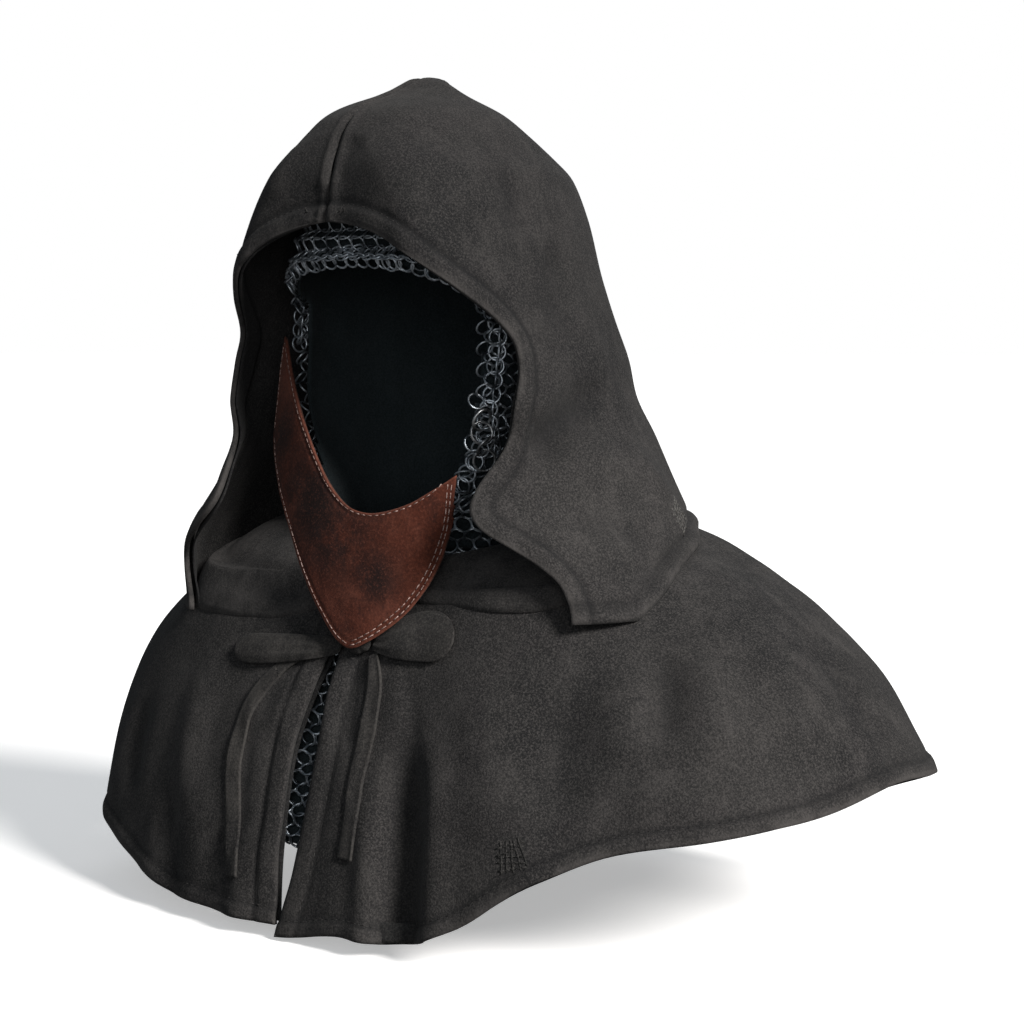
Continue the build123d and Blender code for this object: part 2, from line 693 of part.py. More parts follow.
def ring_plane(x, height, stand):
    """A plane on the mail's outer face, moved out by stand, that bridges the hollows of the neck."""
    step = LAYER_GAP
    slope_x = (mail_front(x + step, height) - mail_front(x - step, height)) / (2 * step)
    above = mail_front(x, height + EDGE_RING_RADIUS)
    below = mail_front(x, height - EDGE_RING_RADIUS)
    facing = Vector(slope_x, -1, (above - below) / (2 * EDGE_RING_RADIUS)).normalized()
    front = min(mail_front(x, height), (above + below) / 2)
    return Plane(Vector(x, front, height) + facing * stand, z_dir=facing)


def beside_other_pieces(x, height):
    """Whether the leather's sewn edge or a fastening ring takes an edge ring's place."""
    right_jaw = -FLAP_TOP - FLAP_DEPTH * FLAP_EDGE_SHARES["right_jaw"][1]
    if x < 0 and abs(height + FLAP_TOP) < EDGE_RING_RADIUS or x < 0 and right_jaw < height < -FLAP_TOP:
        return True
    reach = FASTENING_RING_RADIUS + EDGE_RING_RADIUS
    return any(math.hypot(x - px, height - pz) < reach for px, pz in FASTENING_RING_PLACES)


with BuildSketch(Plane.XZ) as ring_path:
    mail_face_edge()
    offset(amount=EDGE_RING_RADIUS + EDGE_WIRE_RADIUS, mode=Mode.REPLACE)
ring_line = ring_path.sketch.faces()[0].outer_wire()

with BuildPart() as mail_edge_rings:
    for index in range(EDGE_RING_COUNT):
        spot = ring_line.position_at(index / EDGE_RING_COUNT)
        drop = (MAIL_OUTER - spot.Z) / HEAD_LENGTH
        widest = HEAD_HALF_WIDTH * between(HEAD_LEVEL_SHARES, drop, 1) + MAIL_OUTER - EDGE_RING_RADIUS
        x = max(-widest, min(widest, spot.X))
        if beside_other_pieces(x, spot.Z):
            continue
        with Locations(ring_plane(x, spot.Z, EDGE_WIRE_RADIUS + 2 * LAYER_GAP)):
            Torus(EDGE_RING_RADIUS, EDGE_WIRE_RADIUS)
mail_edge_rings.part.label = "mail_edge_rings"
export_step(mail_edge_rings.part, "parts/mail_edge_rings.step")

with BuildPart() as fastening_rings:
    for x, height in FASTENING_RING_PLACES:
        with Locations(ring_plane(x, height, FASTENING_WIRE_RADIUS + 2 * LAYER_GAP)):
            Torus(FASTENING_RING_RADIUS, FASTENING_WIRE_RADIUS)
fastening_rings.part.label = "fastening_rings"
export_step(fastening_rings.part, "parts/fastening_rings.step")


# The tie: knot, loops and tails
def cape_front(x, height, distance):
    """How far forward the cape's outer face lies at a half width and height, moved out."""
    side = 1 if x >= 0 else -1
    angle = 0
    for _ in range(12):
        out = at_height(moved_out(cape_line(angle, side), distance), height)
        angle = math.degrees(math.asin(abs(x) / out))
    return CAPE_AXIS_BACK - out * math.cos(math.radians(angle))


def ribbon(rows, thickness, clearance):
    """Lofts a strip that lies on the cape; each row gives a height and the strip's two edges."""
    with BuildPart() as strip:
        for height, left, right in rows:
            middle = (left + right) / 2
            back = [(x, cape_front(x, height, clearance)) for x in (left, middle, right)]
            face = [(x, cape_front(x, height, clearance + thickness)) for x in (left, middle, right)]
            with BuildSketch(Plane.XY.offset(height)):
                with BuildLine():
                    ThreePointArc(*back)
                    Line(back[2], face[2])
                    ThreePointArc(face[2], face[1], face[0])
                    Line(face[0], back[0])
                make_face()
        loft()
    return strip.part


for name, drop, length, shares in (
    ("left", LEFT_TAIL_DROP, LEFT_TAIL_LENGTH, LEFT_TAIL_SHARES),
    ("right", RIGHT_TAIL_DROP, RIGHT_TAIL_LENGTH, RIGHT_TAIL_SHARES),
):
    with BuildPart() as tie_tail:
        half = RIBBON_WIDTH / 2
        rows = [(-drop - length * down, length * x - half, length * x + half) for down, x in shares]
        add(ribbon(rows, RIBBON, RIBBON_CLEARANCE))
    tie_tail.part.label = f"tie_tail_{name}"
    export_step(tie_tail.part, f"parts/tie_tail_{name}.step")

for name, drop, height, length, shares in (
    ("left", LEFT_LOOP_DROP, LEFT_LOOP_HEIGHT, LEFT_LOOP_LENGTH, LEFT_LOOP_SHARES),
    ("right", RIGHT_LOOP_DROP, RIGHT_LOOP_HEIGHT, RIGHT_LOOP_LENGTH, RIGHT_LOOP_SHARES),
):
    with BuildPart() as tie_loop:
        rows = [(-drop - height * down, length * x1, length * x2) for down, x1, x2 in shares]
        add(ribbon(rows, LOOP_THICKNESS, LOOP_CLEARANCE))
    tie_loop.part.label = f"tie_loop_{name}"
    export_step(tie_loop.part, f"parts/tie_loop_{name}.step")

with BuildPart() as tie_knot:
    with Locations(Location((KNOT_X, -KNOT_FRONT + KNOT_DEPTH / 2, -KNOT_DROP), (KNOT_TILT_DEGREES, 0, 0))):
        Box(KNOT_WIDTH, KNOT_DEPTH, KNOT_HEIGHT)
    fillet(tie_knot.edges(), KNOT_EDGE)
tie_knot.part.label = "tie_knot"
export_step(tie_knot.part, "parts/tie_knot.step")


# Darning threads on the hood's left side and near the cape's left hem
with BuildPart() as darn_hood:
    add(level_shell(HOOD_LEVEL_SHARES, HOOD_SIZES, HOOD_PEAK, DARN_CLEARANCE + DARN_THREAD, DARN_CLEARANCE))
    with BuildSketch(Plane.YZ):
        for index in range(HOOD_DARN_THREADS):
            with Locations((HOOD_DARN_BACK, -HOOD_DARN_DROP - index * DARN_PITCH)):
                Rectangle(HOOD_DARN_SIZE, DARN_THREAD * 1.2)
    extrude(amount=OVERRUN, mode=Mode.INTERSECT)
darn_hood.part.label = "darn_hood"
export_step(darn_hood.part, "parts/darn_hood.step")

with BuildPart() as darn_mantle:
    for index in range(CAPE_DARN_THREADS):
        rise = CAPE_DARN_RISE + index * DARN_PITCH
        add(cape_layer(CAPE_DARN_ANGLES, 1, DARN_CLEARANCE + DARN_THREAD, DARN_CLEARANCE, top=DARN_THREAD, foot_rise=rise))
darn_mantle.part.label = "darn_mantle"
export_step(darn_mantle.part, "parts/darn_mantle.step")
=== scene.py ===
"""Dresses the hooded mantle, its mail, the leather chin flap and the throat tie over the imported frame."""
import json
import logging
import math
from bisect import bisect_left
from dataclasses import dataclass, field
from enum import Enum
from typing import Callable, Iterable, Optional, Sequence

import bmesh
import bpy
from mathutils import Matrix, Vector, noise
from mathutils.bvhtree import BVHTree
from mathutils.kdtree import KDTree

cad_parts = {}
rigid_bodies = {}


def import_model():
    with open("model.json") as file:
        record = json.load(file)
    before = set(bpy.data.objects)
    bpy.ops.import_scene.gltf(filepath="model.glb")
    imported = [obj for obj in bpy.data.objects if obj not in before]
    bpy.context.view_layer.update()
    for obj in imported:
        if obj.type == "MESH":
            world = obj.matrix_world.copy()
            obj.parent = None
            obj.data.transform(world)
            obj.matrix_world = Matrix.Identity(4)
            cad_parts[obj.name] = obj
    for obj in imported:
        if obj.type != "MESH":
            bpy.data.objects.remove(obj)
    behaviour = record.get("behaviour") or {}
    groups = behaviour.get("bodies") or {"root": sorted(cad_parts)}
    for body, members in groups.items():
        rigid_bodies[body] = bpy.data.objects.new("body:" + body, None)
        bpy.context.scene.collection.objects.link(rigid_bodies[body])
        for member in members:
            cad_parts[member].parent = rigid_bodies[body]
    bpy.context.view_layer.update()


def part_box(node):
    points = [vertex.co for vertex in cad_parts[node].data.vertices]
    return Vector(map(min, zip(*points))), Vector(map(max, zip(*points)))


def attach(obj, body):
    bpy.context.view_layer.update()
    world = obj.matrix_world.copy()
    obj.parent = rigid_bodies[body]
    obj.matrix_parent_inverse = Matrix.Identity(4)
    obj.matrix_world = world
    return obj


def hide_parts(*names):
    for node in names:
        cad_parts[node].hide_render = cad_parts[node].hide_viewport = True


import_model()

log = logging.getLogger("coif")
MM = 0.001
CREASE_SHADE = 0.065  # how much darker a valley's floor is for each mm of its depth
SEAM_SNAP = 0.0009  # metres from the middle within which a seam's two halves are closed
ROUNDNESS = 2.3  # the power of the cape's outlines, where 2 is an ellipse
BMesh = bmesh.types.BMesh
Material = bpy.types.Material
Point = tuple[float, float, float]
Surface = Callable[[float, float], Vector]


class Side(Enum):
    """The two halves of the garment, as the wearer has them."""

    LEFT = 1
    RIGHT = -1

    @property
    def word(self) -> str:
        """The side's name in piece names."""
        return self.name.lower()


class Table:
    """Rows of numbers that are read smoothly between their first column's values."""

    def __init__(self, rows: Sequence[Sequence[float]]) -> None:
        """Sorts the rows by their first column.

        Args:
            rows: each row is a key and the values that belong to it.
        """
        ordered = sorted(rows)
        self.keys = [row[0] for row in ordered]
        self.values = [row[1:] for row in ordered]

    def __call__(self, key: float) -> list[float]:
        """Reads every column at a key with a smooth curve through the rows.

        Args:
            key: where to read, held inside the table's range.

        Returns:
            One value for each column after the first.
        """
        keys, values = self.keys, self.values
        key = min(max(key, keys[0]), keys[-1])
        low = 0
        while low < len(keys) - 2 and key > keys[low + 1]:
            low += 1
        span = keys[low + 1] - keys[low]
        t = (key - keys[low]) / span
        result = []
        for column in range(len(values[0])):
            start, end = values[low][column], values[low + 1][column]
            slopes = []
            for index in (low, low + 1):
                before, after = max(index - 1, 0), min(index + 1, len(keys) - 1)
                rise = values[after][column] - values[before][column]
                slopes.append(rise / (keys[after] - keys[before]))
            a, b = slopes[0] * span, slopes[1] * span
            result.append(
                start + t * (a + t * (3 * (end - start) - 2 * a - b + t * (2 * (start - end) + a + b)))
            )
        return result


@dataclass(frozen=True)
class View:
    """The camera of the photograph."""

    azimuth: float = 38.0
    elevation: float = 4.0
    lens: float = 85.0
    sensor: float = 36.0
    distance: float = 1.5
    target: Point = (0.051, 0.0, -0.226)
    image: int = 1024

    def axes(self) -> tuple[Vector, Vector, Vector]:
        """The camera's right, up and forward directions."""
        turn, tilt = math.radians(self.azimuth), math.radians(self.elevation)
        sine, cosine = math.sin(turn), math.cos(turn)
        right = Vector((cosine, sine, 0))
        forward = Vector((-sine * math.cos(tilt), cosine * math.cos(tilt), -math.sin(tilt)))
        return right, right.cross(forward), forward

    def place(self) -> Vector:
        """Where the camera stands."""
        return Vector(self.target) - self.axes()[2] * self.distance

    def ray(self, x: float, y: float) -> Vector:
        """The direction from the camera through a pixel."""
        right, up, forward = self.axes()
        scale = self.sensor / self.lens / self.image
        middle = self.image / 2
        return (forward + right * (x - middle) * scale - up * (y - middle) * scale).normalized()

    def stand(self) -> None:
        """Adds the camera to the scene and looks through it."""
        data = bpy.data.cameras.new("photo_camera")
        data.lens = self.lens
        data.sensor_width = self.sensor
        camera = bpy.data.objects.new("photo_camera", data)
        bpy.context.collection.objects.link(camera)
        right, up, forward = self.axes()
        facing = Matrix((right, up, -forward)).transposed().to_4x4()
        camera.matrix_world = Matrix.Translation(self.place()) @ facing
        bpy.context.scene.camera = camera


VIEW = View()


@dataclass
class LevelForm:
    """A form built up from plan outlines: flat front, rounded corners and a rounded back.

    Rows hold a height in mm, then half width, centre, front, back and the corner's share.
    """

    rows: Sequence[Sequence[float]]
    table: Table = field(init=False)

    def __post_init__(self) -> None:
        """Makes the rows readable at any height."""
        self.table = Table(self.rows)

    def lengths(self, height: float, out: float) -> tuple[list[float], list[float]]:
        """The outline's measures and the lengths of its flat, corner and back.

        Args:
            height: height of the outline in mm.
            out: how far it is moved out in mm.

        Returns:
            Half width, centre, front, back and corner radius, then the three lengths.
        """
        width, centre, front, back, share = self.table(height)
        width, front, back = width + out, front - out, back + out
        corner = width * share
        runs = [
            width - corner,
            math.pi / 2 * math.sqrt((corner**2 + (centre - front) ** 2) / 2),
            math.pi / 2 * math.sqrt((width**2 + (back - centre) ** 2) / 2),
        ]
        return [width, centre, front, back, corner], runs

    def point(self, height: float, around: float, out: float = 0.0) -> Vector:
        """A point of the form in mm, on the left for around from 0 to 1 and mirrored below 0.

        Args:
            height: its height in mm.
            around: 0 at the centre front, 1 or -1 at the centre back.
            out: how far it is moved out in mm.

        Returns:
            The point in mm.
        """
        (width, centre, front, back, corner), runs = self.lengths(height, out)
        along = abs(around) * sum(runs)
        side = 1 if around >= 0 else -1
        if along < runs[0]:
            x, y = along, front
        elif along < runs[0] + runs[1]:
            turn = (along - runs[0]) / runs[1] * math.pi / 2
            x, y = width - corner + corner * math.sin(turn), centre - (centre - front) * math.cos(turn)
        else:
            turn = min((along - runs[0] - runs[1]) / runs[2], 1) * math.pi / 2
            x, y = width * math.cos(turn), centre + (back - centre) * math.sin(turn)
        return Vector((side * x, y, height))

    def around_at(self, height: float, x: float) -> float:
        """How far round the outline a half width lies, on the front half."""
        (width, _, _, _, corner), runs = self.lengths(height, 0.0)
        flat = width - corner
        if x <= flat:
            return x / sum(runs)
        turn = math.asin(min((x - flat) / corner, 1))
        return (runs[0] + runs[1] * turn / (math.pi / 2)) / sum(runs)


HEAD = LevelForm(
    rows=[
        (0, 14.0, 0.0, -14.0, 10.8, 0.80), (-4, 35.2, 0.0, -38.0, 28.8, 0.80),
        (-16, 55.2, 0.0, -64.0, 53.1, 0.80), (-36, 68.4, -2.0, -78.0, 70.2, 0.75),
        (-60, 76.0, -6.0, -85.0, 79.2, 0.68), (-90, 80.0, -14.0, -87.0, 86.8, 0.60),
        (-125, 80.0, -20.0, -87.0, 90.0, 0.55), (-160, 79.0, -24.0, -86.0, 88.7, 0.50),
        (-195, 72.0, -12.0, -82.0, 79.2, 0.65), (-225, 66.0, -2.0, -70.5, 73.8, 0.85),
        (-255, 68.0, 2.0, -63.5, 73.8, 0.85),
    ]
)
HOOD = LevelForm(
    rows=[
        (42, 7.0, -17.0, -25.0, -9.0, 0.85), (30, 28.0, -22.0, -52.0, 5.0, 0.88),
        (18, 49.1, -24.0, -84.0, 28.0, 0.88), (5, 63.9, -23.0, -98.1, 46.1, 0.85),
        (-7, 72.9, -22.0, -105.0, 67.9, 0.68), (-20, 84.0, -20.0, -110.0, 81.9, 0.56),
        (-44, 94.0, -20.0, -113.0, 91.0, 0.45), (-82, 104.0, -25.0, -119.0, 103.1, 0.40),
        (-106, 110.9, -32.0, -118.0, 114.0, 0.40), (-131, 119.0, -40.0, -114.0, 126.0, 0.38),
        (-156, 124.1, -36.1, -112.0, 130.0, 0.45), (-181, 134.0, -12.0, -116.0, 134.1, 0.75),
        (-206, 149.1, -6.0, -119.0, 134.1, 0.75), (-231, 164.5, -13.1, -117.0, 142.0, 0.60),
        (-262, 177.7, -19.0, -112.5, 149.0, 0.47), (-292, 188.0, -20.2, -108.9, 152.0, 0.43),
        (-330, 198.0, -21.0, -106.0, 156.0, 0.43),
    ]
)


@dataclass
class CapeForm:
    """The cape round the shoulders, read in upright planes through its own axis, in mm."""

    axis_back: float = 28.0
    neck_height: float = -250.0
    neck_slope: float = 0.22
    shoulder_reach: tuple[float, float] = (156, 170)
    shoulder_drop: tuple[float, float, float] = (365, 326, 326)
    hem_reach: tuple[float, float] = (182, 188)
    side_reach: dict = field(default_factory=lambda: {Side.LEFT: (278.0, 312), Side.RIGHT: (242.0, 268)})
    hem_drop: float = 473.0
    neck: Table = Table(
        [(0, 106.0), (15, 111.0), (30, 127.0), (42, 150.0), (54, 173.0), (64, 168.1), (76, 156.1),
         (90, 147.0), (100, 140.1), (110, 131.0), (120, 120.9), (135, 108.1), (150, 98.0),
         (165, 92.0), (180, 90.0)]
    )
    left: Table = Table(
        [(-4, 1.0, 1.0), (1.2, 1.0, 1.0), (7, 1.002, 1.0), (13, 1.01, 1.0), (20, 1.02, 0.998),
         (28, 0.975, 0.985), (36, 1.015, 0.95), (44, 1.005, 0.903), (47, 1.0, 0.888),
         (56, 0.975, 0.852), (66, 1.01, 0.826), (78, 1.0, 0.803), (90, 0.995, 0.78),
         (100, 1.025, 0.774), (112, 0.985, 0.8), (126, 1.02, 0.842), (140, 0.975, 0.872),
         (153, 1.015, 0.893), (167, 0.985, 0.907), (180, 1.0, 0.913)]
    )
    right: Table = Table(
        [(-4, 1.0, 0.984), (1.2, 1.0, 0.984), (7, 1.0, 0.984), (13, 1.0, 0.983), (21, 1.0, 0.98),
         (31, 1.005, 0.975), (40, 1.01, 0.96), (48, 0.985, 0.945), (57, 1.01, 0.918),
         (68, 1.0, 0.896), (80, 0.985, 0.872), (91, 1.01, 0.853), (102, 1.003, 0.846),
         (113, 0.99, 0.843), (124, 0.988, 0.846), (135, 1.015, 0.858), (146, 0.99, 0.872),
         (157, 0.985, 0.886), (168, 1.01, 0.9), (180, 1.0, 0.913)]
    )

    @staticmethod
    def blend(front: float, side: float, back: float, angle: float) -> float:
        """A value that runs from front to side to back around the body."""
        facing = math.cos(math.radians(angle))
        end = front if facing > 0 else back
        return side + (end - side) * abs(facing) ** 1.5

    @staticmethod
    def reach(front: float, side: float, back: float, angle: float) -> float:
        """How far a rounded outline reaches from the axis at an angle."""
        sine, cosine = abs(math.sin(math.radians(angle))), math.cos(math.radians(angle))
        end = front if cosine > 0 else back
        return ((sine / side) ** ROUNDNESS + (abs(cosine) / end) ** ROUNDNESS) ** (-1 / ROUNDNESS)

    def line(self, angle: float) -> list[tuple[float, float]]:
        """The cape's outer line at a signed angle from the front.

        Args:
            angle: degrees from the centre front, positive to the wearer's left.

        Returns:
            Neckline, shoulder and hem as (reach, height) in mm.
        """
        turn = abs(angle)
        side = Side.LEFT if angle >= 0 else Side.RIGHT
        swell, drop = (self.left if side is Side.LEFT else self.right)(turn)
        out = self.neck(turn)[0]
        behind = self.axis_back - out * math.cos(math.radians(turn))
        neck = (out, self.neck_height + self.neck_slope * behind)
        at_shoulder, at_hem = self.side_reach[side]
        front, back = self.shoulder_reach
        reach = self.reach(front, at_shoulder, back, turn) * (1 + (swell - 1) / 2)
        shoulder = (reach, -self.blend(*self.shoulder_drop, turn))
        front, back = self.hem_reach
        hem = (self.reach(front, at_hem, back, turn) * swell, -self.hem_drop * drop)
        return [neck, shoulder, hem]

    @staticmethod
    def circle(points: Sequence[tuple[float, float]]) -> tuple[float, float, float]:
        """Centre and radius of the circle through three points."""
        (ax, ay), (bx, by), (cx, cy) = points
        scale = 2 * (ax * (by - cy) + bx * (cy - ay) + cx * (ay - by))
        a, b, c = ax**2 + ay**2, bx**2 + by**2, cx**2 + cy**2
        x = (a * (by - cy) + b * (cy - ay) + c * (ay - by)) / scale
        y = (a * (cx - bx) + b * (ax - cx) + c * (bx - ax)) / scale
        return x, y, math.hypot(ax - x, ay - y)

    def point(self, angle: float, down: float, out: float = 0.0) -> Vector:
        """A point of the cape in mm.

        Args:
            angle: signed degrees from the centre front.
            down: 0 at the neckline and 1 at the hem.
            out: how far it is moved out.

        Returns:
            The point in mm.
        """
        points = self.line(angle)
        x, y, radius = self.circle(points)
        outward = 1 if points[1][0] > x else -1
        height = points[0][1] + (points[2][1] - points[0][1]) * down
        across = outward * math.sqrt(max(radius**2 - (height - y) ** 2, 0))
        share = 1 + outward * out / radius
        return self.polar(angle, x + across * share, y + (height - y) * share)

    def polar(self, angle: float, reach: float, height: float) -> Vector:
        """The point at an angle, a reach from the axis and a height."""
        turn = math.radians(angle)
        return Vector((reach * math.sin(turn), self.axis_back - reach * math.cos(turn), height))

    def height_at(self, angle: float, reach: float) -> float:
        """The height of the cape's outer face at an angle and a reach."""
        points = self.line(angle)
        x, y, radius = self.circle(points)
        reach = min(max(reach, points[0][0]), points[2][0] - 1)
        return y + math.sqrt(max(radius**2 - (reach - x) ** 2, 0))

    def angle_at(self, x: float, height: float) -> float:
        """The signed angle at which the cape passes a half width at a height."""
        angle = 0.0
        for _ in range(6):
            points = self.line(angle)
            cx, cy, radius = self.circle(points)
            reach = cx + math.sqrt(max(radius**2 - (height - cy) ** 2, 1))
            angle = math.degrees(math.asin(max(min(x / reach, 1), -1)))
        return angle

    def front(self, x: float, height: float, out: float) -> Vector:
        """A point on the cape's front at a half width and height, moved out."""
        angle = self.angle_at(x, height)
        top, _, foot = self.line(angle)
        return self.point(angle, (height - top[1]) / (foot[1] - top[1]), out)


CAPE = CapeForm()
CAPE_AXIS = Vector((0, CAPE.axis_back * MM, 0))


@dataclass(frozen=True)
class Crease:
    """A soft ridge or valley along a line seen in the picture.

    The line is given in pixels; height in mm is positive for a ridge, and width is its half width.
    """

    line: tuple[tuple[float, float], ...]
    height: float
    width: float
    to_hem: bool = False

    def apply(self, bm: BMesh, tree: BVHTree) -> None:
        """Moves the vertices near the line along their normals, and paints shade on valley floors.

        Args:
            bm: the cloth.
            tree: the cloth's faces before any crease.
        """
        points = []
        for (x0, y0), (x1, y1) in zip(self.line, self.line[1:]):
            steps = max(int(math.hypot(x1 - x0, y1 - y0) / 5), 1)
            for step in range(steps + 1):
                t = step / steps
                ray = VIEW.ray(x0 + (x1 - x0) * t, y0 + (y1 - y0) * t)
                hit, normal, _, _ = tree.ray_cast(VIEW.place(), ray)
                if hit is not None and normal.dot(ray) < 0:
                    points.append(hit)
        if not points:
            return
        near = KDTree(len(points))
        for index, point in enumerate(points):
            near.insert(point, index)
        near.balance()
        shade = bm.verts.layers.float["shade"]
        for vert in bm.verts:
            _, index, distance = near.find(vert.co)
            if distance > self.width * MM * 2.6:
                continue
            along = index / max(len(points) - 1, 1)
            fade = 0.12 + 0.88 * smooth_step(0.0, 0.4, along if self.to_hem else min(along, 1 - along) * 1.4)
            swell = bell(distance, 0.0, self.width * MM)
            vert.co += vert.normal * self.height * MM * fade * swell
            # painted shade on the valley floor, darker for deeper valleys
            vert[shade] += max(-self.height, 0) * CREASE_SHADE * fade * swell**2


def grid(columns: int, rows: int, place: Surface) -> BMesh:
    """Makes a grid and lays it over a surface.

    Args:
        columns: divisions across.
        rows: divisions down.
        place: gives the point in mm for shares from 0 to 1 across and down.

    Returns:
        The grid in metres, with its shares kept as UVs.
    """
    bm = bmesh.new()
    bmesh.ops.create_grid(bm, x_segments=columns, y_segments=rows, size=0.5)
    layer = bm.loops.layers.uv.new("UVMap")
    for face in bm.faces:
        for loop in face.loops:
            loop[layer].uv = (loop.vert.co.x + 0.5, loop.vert.co.y + 0.5)
    for vert in bm.verts:
        vert.co = place(vert.co.x + 0.5, vert.co.y + 0.5) * MM
    bmesh.ops.remove_doubles(bm, verts=bm.verts, dist=0.00004)
    return bm


def face_outwards(bm: BMesh, centre: Vector = Vector((0, 0, 0))) -> None:
    """Turns an open sheet so that its faces point away from a centre line."""
    bmesh.ops.recalc_face_normals(bm, faces=bm.faces)
    total = 0.0
    for face in bm.faces:
        away = face.calc_center_median() - centre
        away.z = 0
        total += face.normal.dot(away) * face.calc_area()
    if total < 0:
        bmesh.ops.reverse_faces(bm, faces=bm.faces)
    bm.normal_update()


def smooth_step(low: float, high: float, value: float) -> float:
    """0 below low, 1 above high and a smooth rise between."""
    t = min(max((value - low) / (high - low), 0), 1)
    return t * t * (3 - 2 * t)


def fall(low: float, high: float, value: float) -> float:
    """1 below low, 0 above high and a smooth fall between."""
    return 1 - smooth_step(low, high, value)


def bell(value: float, centre: float, width: float) -> float:
    """1 where a value is at the centre, falling off smoothly on both sides."""
    return math.exp(-(((value - centre) / width) ** 2))


def distance_tree(points: Iterable[Vector]) -> KDTree:
    """A tree that finds the nearest of some points in metres."""
    listed = list(points)
    tree = KDTree(len(listed))
    for index, point in enumerate(listed):
        tree.insert(point, index)
    tree.balance()
    return tree


@dataclass(frozen=True)
class Wool:
    """Worn, felted wool: fine grain, lighter rubbed places, darker soiling and painted shade from the shade
    layer.
    """

    name: str
    colour: Point = (0.0265, 0.0255, 0.0252)
    rubbed: Point = (0.070, 0.0655, 0.063)
    # the soiled colour, also the colour that the painted shade darkens towards
    soiled: Point = (0.0110, 0.0112, 0.0118)
    relief: float = 0.0008

    def build(self) -> Material:
        """Makes the node material."""
        paint = Paint(self.name)
        patches = paint.noise(9.0, detail=3, roughness=0.5)
        mottle = paint.noise(48.0, detail=6, roughness=0.7, stretch=(1.0, 1.0, 0.6))
        grain = paint.noise(880.0, detail=4, roughness=0.8)
        fibre = paint.noise(760.0, detail=2, roughness=0.6, stretch=(1.0, 1.0, 0.3))
        scuffs = paint.noise(210.0, detail=3, roughness=0.6, stretch=(1.0, 1.0, 0.22))
        tone = paint.over(self.soiled, self.colour, patches, 0.32, 0.68)
        tone = paint.over(tone, self.rubbed, mottle, 0.42, 0.74, 0.46)
        tone = paint.over(tone, self.rubbed, grain, 0.45, 0.66, 0.78)
        tone = paint.over(tone, self.soiled, grain, 0.50, 0.34, 0.75)
        tone = paint.over(tone, self.rubbed, scuffs, 0.68, 0.80, 0.6)
        tone = paint.over(tone, self.rubbed, mottle, 0.30, 0.62, paint.attribute("wear"))
        # painted shade: the shade layer darkens crease valleys, seam grooves, the hood's rim line and its
        # upper part towards the soiled colour
        tone = paint.mix(paint.math("MULTIPLY", paint.attribute("shade"), 0.85), tone, self.soiled)
        paint.set("Base Color", tone)
        paint.set("Roughness", 0.93)
        paint.set("Specular IOR Level", 0.08)
        paint.set("Sheen Weight", 0.03)
        paint.set("Sheen Roughness", 0.55)
        height = paint.math("ADD", paint.math("MULTIPLY", grain, 0.5), paint.math("MULTIPLY", fibre, 0.5))
        height = paint.math("ADD", height, paint.math("MULTIPLY", mottle, 1.1))
        paint.bump(height, self.relief, 0.75)
        return paint.material


@dataclass(frozen=True)
class Suede:
    """Red-brown leather with a fine nap, dark handling marks, paler rubbed edges and a painted highlight
    along the flap's top.
    """

    name: str = "leather"
    colour: Point = (0.066, 0.0165, 0.0085)
    light: Point = (0.150, 0.050, 0.032)
    dark: Point = (0.012, 0.0065, 0.006)

    def build(self) -> Material:
        """Makes the node material."""
        paint = Paint(self.name)
        clouds = paint.noise(30.0, detail=5, roughness=0.65)
        smears = paint.noise(46.0, detail=6, roughness=0.7, stretch=(1.0, 1.0, 0.75))
        nap = paint.noise(620.0, detail=4, roughness=0.75)
        tone = paint.over(self.colour, self.light, clouds, 0.46, 0.72, 0.6)
        tone = paint.over(tone, self.dark, smears, 0.50, 0.70, 0.6)
        handled = paint.math("MULTIPLY", paint.attribute("smudge"), 0.9)
        tone = paint.over(tone, self.dark, smears, 0.30, 0.52, handled)
        tone = paint.over(tone, self.light, nap, 0.50, 0.72, 0.55)
        tone = paint.over(tone, self.dark, nap, 0.50, 0.30, 0.6)
        # wear layer: paler rubbed edges, and a painted highlight along the flap's top
        tone = paint.over(tone, self.light, nap, 0.25, 0.62, paint.attribute("wear"))
        paint.set("Base Color", tone)
        paint.set("Roughness", 0.82)
        paint.set("Specular IOR Level", 0.15)
        paint.set("Sheen Weight", 0.03)
        height = paint.math("ADD", nap, paint.math("MULTIPLY", clouds, 0.8))
        paint.bump(height, 0.0005, 0.7)
        return paint.material


@dataclass(frozen=True)
class Steel:
    """Drawn wire rings, oiled dark and rubbed bright in patches."""

    name: str
    colour: Point = (0.52, 0.565, 0.61)
    dark: Point = (0.11, 0.125, 0.142)

    def build(self) -> Material:
        """Makes the node material."""
        paint = Paint(self.name)
        stain = paint.noise(90.0, detail=4, roughness=0.65)
        pits = paint.noise(900.0, detail=2, roughness=0.6)
        tone = paint.over(self.dark, self.colour, stain, 0.34, 0.62)
        tone = paint.over(tone, self.dark, pits, 0.55, 0.75, 0.5)
        paint.set("Base Color", tone)
        paint.set("Metallic", 0.9)
        paint.set("Roughness", paint.math("ADD", paint.math("MULTIPLY", stain, 0.25), 0.25))
        paint.bump(pits, 0.0001, 0.5)
        return paint.material


@dataclass(frozen=True)
class Thread:
    """Twisted sewing thread."""

    name: str
    colour: Point
    dark: Point

    def build(self) -> Material:
        """Makes the node material."""
        paint = Paint(self.name)
        twist = paint.noise(900.0, detail=2, roughness=0.6)
        dirt = paint.noise(70.0, detail=3, roughness=0.6)
        tone = paint.over(self.dark, self.colour, twist, 0.35, 0.65)
        tone = paint.over(tone, self.dark, dirt, 0.5, 0.7, 0.5)
        paint.set("Base Color", tone)
        paint.set("Roughness", 0.85)
        paint.set("Specular IOR Level", 0.25)
        paint.bump(twist, 0.0002, 0.6)
        return paint.material


